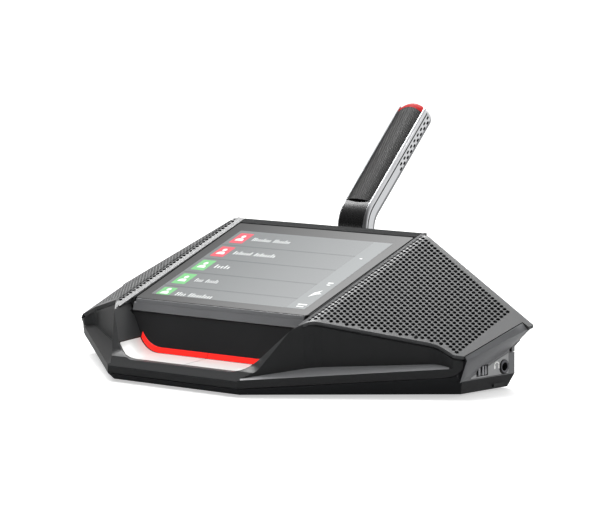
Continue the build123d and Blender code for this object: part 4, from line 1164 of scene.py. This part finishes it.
class FitRearSockets(bpy.types.Operator):
    """Network sockets with their gold contacts"""
    bl_idname = "delegate_unit.fit_rear_sockets"
    bl_label = "Rear sockets"

    def execute(self, context):
        # Hard gold over nickel: thin warm wires with a clear shine
        gold = metal("hard_gold_plating", linear("#d9a441"), rough=0.2)
        for side, sign in SIDES:
            dress("network_socket_" + side, black_nylon(), 0.15)
            contacts = Maker(*rear_contacts(sign * PORT_PITCH / 2))
            contacts.piece("socket_contacts_" + side, "housing", "socket_black", gold)
        return {"FINISHED"}


class DressInnerWorks(bpy.types.Operator):
    """Loudspeakers, main board, screws and feet"""
    bl_idname = "delegate_unit.dress_inner_works"
    bl_label = "Inner works"

    def execute(self, context):
        # Pressed paper pulp: soft, fibrous and dull
        pulp = moulded("pressed_paper_pulp", linear("#26241f"), rough=0.85, grain=1.4, depth=0.06, drift=0.2)
        # Steel, drawn and zinc plated: cold grey with fine streaks
        steel = metal("zinc_plated_steel", linear("#9a9b9d"), rough=0.34, stretch=(1, 1, 6))
        # Natural rubber, moulded: matt with a faint bloom
        rubber = moulded("moulded_rubber_black", linear("#161616"), rough=0.8, grain=0.9, depth=0.03,
                         drift=0.2)
        for side, _ in SIDES:
            dress("speaker_cone_" + side, pulp)
            dress("speaker_basket_" + side, steel)
            dress("speaker_magnet_" + side, steel)
        dress("main_board", circuit_board())
        dress("case_screws", steel)
        dress("rubber_feet", rubber, 0.25)
        return {"FINISHED"}


def hang(obj, place, target):
    """Hang a light or card at a place, its lit side (-Z) towards a target, unseen by the camera."""
    obj.location = place
    obj.rotation_mode = "QUATERNION"
    obj.rotation_quaternion = (Vector(target) - Vector(place)).to_track_quat("-Z", "Y")
    obj.visible_camera = False


def flat_sheet(name, outline, made):
    """A flat face over an outline in metres."""
    mesh = bpy.data.meshes.new(name)
    mesh.from_pydata([(x, y, 0) for x, y in outline], [], [list(range(len(outline)))])
    mesh.materials.append(made)
    return linked(name, mesh)


def softbox(name, place, target, width, height, power):
    """A rectangular soft light."""
    lamp = bpy.data.lights.new(name, "AREA")
    lamp.shape = "RECTANGLE"
    lamp.size, lamp.size_y, lamp.energy = width, height, power
    hang(linked(name, lamp), place, target)


def glow_card(name, place, target, width, height, low, high):
    """A card whose light fades from one side to the other, or a black one, for the unit to mirror."""
    made, tree, spot = start_finish(name + "_light")
    axes = add_node(tree, "ShaderNodeSeparateXYZ", {"Vector": spot})
    fade = add_node(tree, "ShaderNodeMapRange", {
        "Value": axes.outputs["Y"], "From Min": -height / 8, "From Max": height / 8, "To Min": low,
        "To Max": high})
    glow = add_node(tree, "ShaderNodeEmission", {"Strength": fade.outputs[0]})
    add_node(tree, "ShaderNodeOutputMaterial", {"Surface": glow.outputs[0]})
    card = flat_sheet(name, box_outline(0, 0, width, height), made)
    hang(card, place, target)
    card.visible_diffuse = False
    card.visible_shadow = False


class SetStudio(bpy.types.Operator):
    """Pale floor, soft light and the camera at the unit's usual angle"""
    bl_idname = "delegate_unit.set_studio"
    bl_label = "Studio"

    def execute(self, context):
        look = settings("studio")
        scene = context.scene
        # Opal acrylic, lit from below as on a light table: even white with hardly a shadow
        acrylic = lit("opal_acrylic_lit", look.floor_colour, strength=look.underlight, rough=0.6, depth=0.0,
                      base=0.9)
        floor = flat_sheet("floor", round_outline(0, 0, 14.0, 48), acrylic)
        floor.visible_glossy = False

        # White sweep behind and above, dark room in front
        world = bpy.data.worlds.new("studio_room")
        scene.world = world
        world.use_nodes = True
        tree = world.node_tree
        tree.nodes.clear()
        spot = add_node(tree, "ShaderNodeTexCoord")
        axes = add_node(tree, "ShaderNodeSeparateXYZ", {"Vector": spot.outputs["Generated"]})
        slant = add_node(tree, "ShaderNodeMath", {0: axes.outputs["Z"], 1: 0.9, 2: axes.outputs["Y"]},
                         operation="MULTIPLY_ADD")
        room = add_node(tree, "ShaderNodeMapRange", {
            "Value": slant.outputs[0], "From Min": 0.05, "From Max": 0.72, "To Min": look.dark_side,
            "To Max": look.sweep}, interpolation_type="SMOOTHSTEP")
        sky = add_node(tree, "ShaderNodeBackground", {"Strength": room.outputs[0]})
        add_node(tree, "ShaderNodeOutputWorld", {"Surface": sky.outputs[0]})

        # Name, place, target, width and height in metres, then watts or the light of a card's two sides
        softbox("top_light", (-0.25, 0.3, 1.05), (0, 0, 0.04), 0.8, 0.7, 9)
        softbox("left_light", (-0.72, -0.12, 0.95), (0, 0.08, 0.09), 0.16, 0.6, 4.5)
        softbox("crest_light", (-0.443, 0.378, 0.693), (0.061, 0, 0.05), 0.5, 0.06, 1.7)
        glow_card("screen_card", (-0.66, 0.50, 0.66), (0.0, 0.0, 0.05), 0.5, 0.4, 0.85, 2.9)
        glow_card("black_flag", (-0.606, 0.35, 0.27), (0.0, 0.0, 0.06), 0.5, 0.2, 0.0, 0.0)
        glow_card("right_flag", (0.28, 0.33, 0.95), (0.1, 0.0, 0.02), 0.5, 0.6, 0.0, 0.0)

        lens = bpy.data.cameras.new("camera")
        lens.lens = look.lens
        lens.sensor_width = 36.0
        lens.clip_start, lens.clip_end = 0.05, 60.0
        camera = linked("camera", lens)
        # The camera's own axes, as fitted to the unit's edges
        right = Vector((0.75164, 0.65957, 0))
        above = Vector((-0.06797, 0.07746, 0.99468))
        behind = Vector((0.65606, -0.74764, 0.10305))
        turn = Matrix((right, above, behind)).transposed()
        camera.matrix_world = Matrix.Translation((1.0364, -1.1610, 0.2183)) @ turn.to_4x4()
        scene.camera = camera
        scene.view_settings.view_transform = "Standard"
        return {"FINISHED"}


OPERATORS = (DressCase, FitGrilles, FitScreen, DressRecess, FitSideControls, DressMicrophone,
             FitRearSockets, DressInnerWorks, SetStudio)


class DelegateUnitPanel(bpy.types.Panel):
    """Sizes, colours and steps of the delegate unit"""
    bl_idname = "VIEW3D_PT_delegate_unit"
    bl_label = "Delegate unit"
    bl_space_type = "VIEW_3D"
    bl_region_type = "UI"
    bl_category = "Delegate unit"

    def draw(self, context):
        for key, group in GROUPS.items():
            box = self.layout.box()
            box.label(text=group.__doc__)
            for name in group.__annotations__:
                box.prop(settings(key), name)
        for operator in OPERATORS:
            self.layout.operator(operator.bl_idname)


def register():
    for key, group in GROUPS.items():
        bpy.utils.register_class(group)
        setattr(bpy.types.Scene, "delegate_" + key, PointerProperty(type=group))
    for one in (*OPERATORS, DelegateUnitPanel):
        bpy.utils.register_class(one)


def unregister():
    for one in reversed((*OPERATORS, DelegateUnitPanel)):
        bpy.utils.unregister_class(one)
    for key, group in reversed(GROUPS.items()):
        delattr(bpy.types.Scene, "delegate_" + key)
        bpy.utils.unregister_class(group)


def main():
    register()
    for operator in OPERATORS:
        family, step = operator.bl_idname.split(".")
        getattr(getattr(bpy.ops, family), step)()


if __name__ == "__main__":
    main()
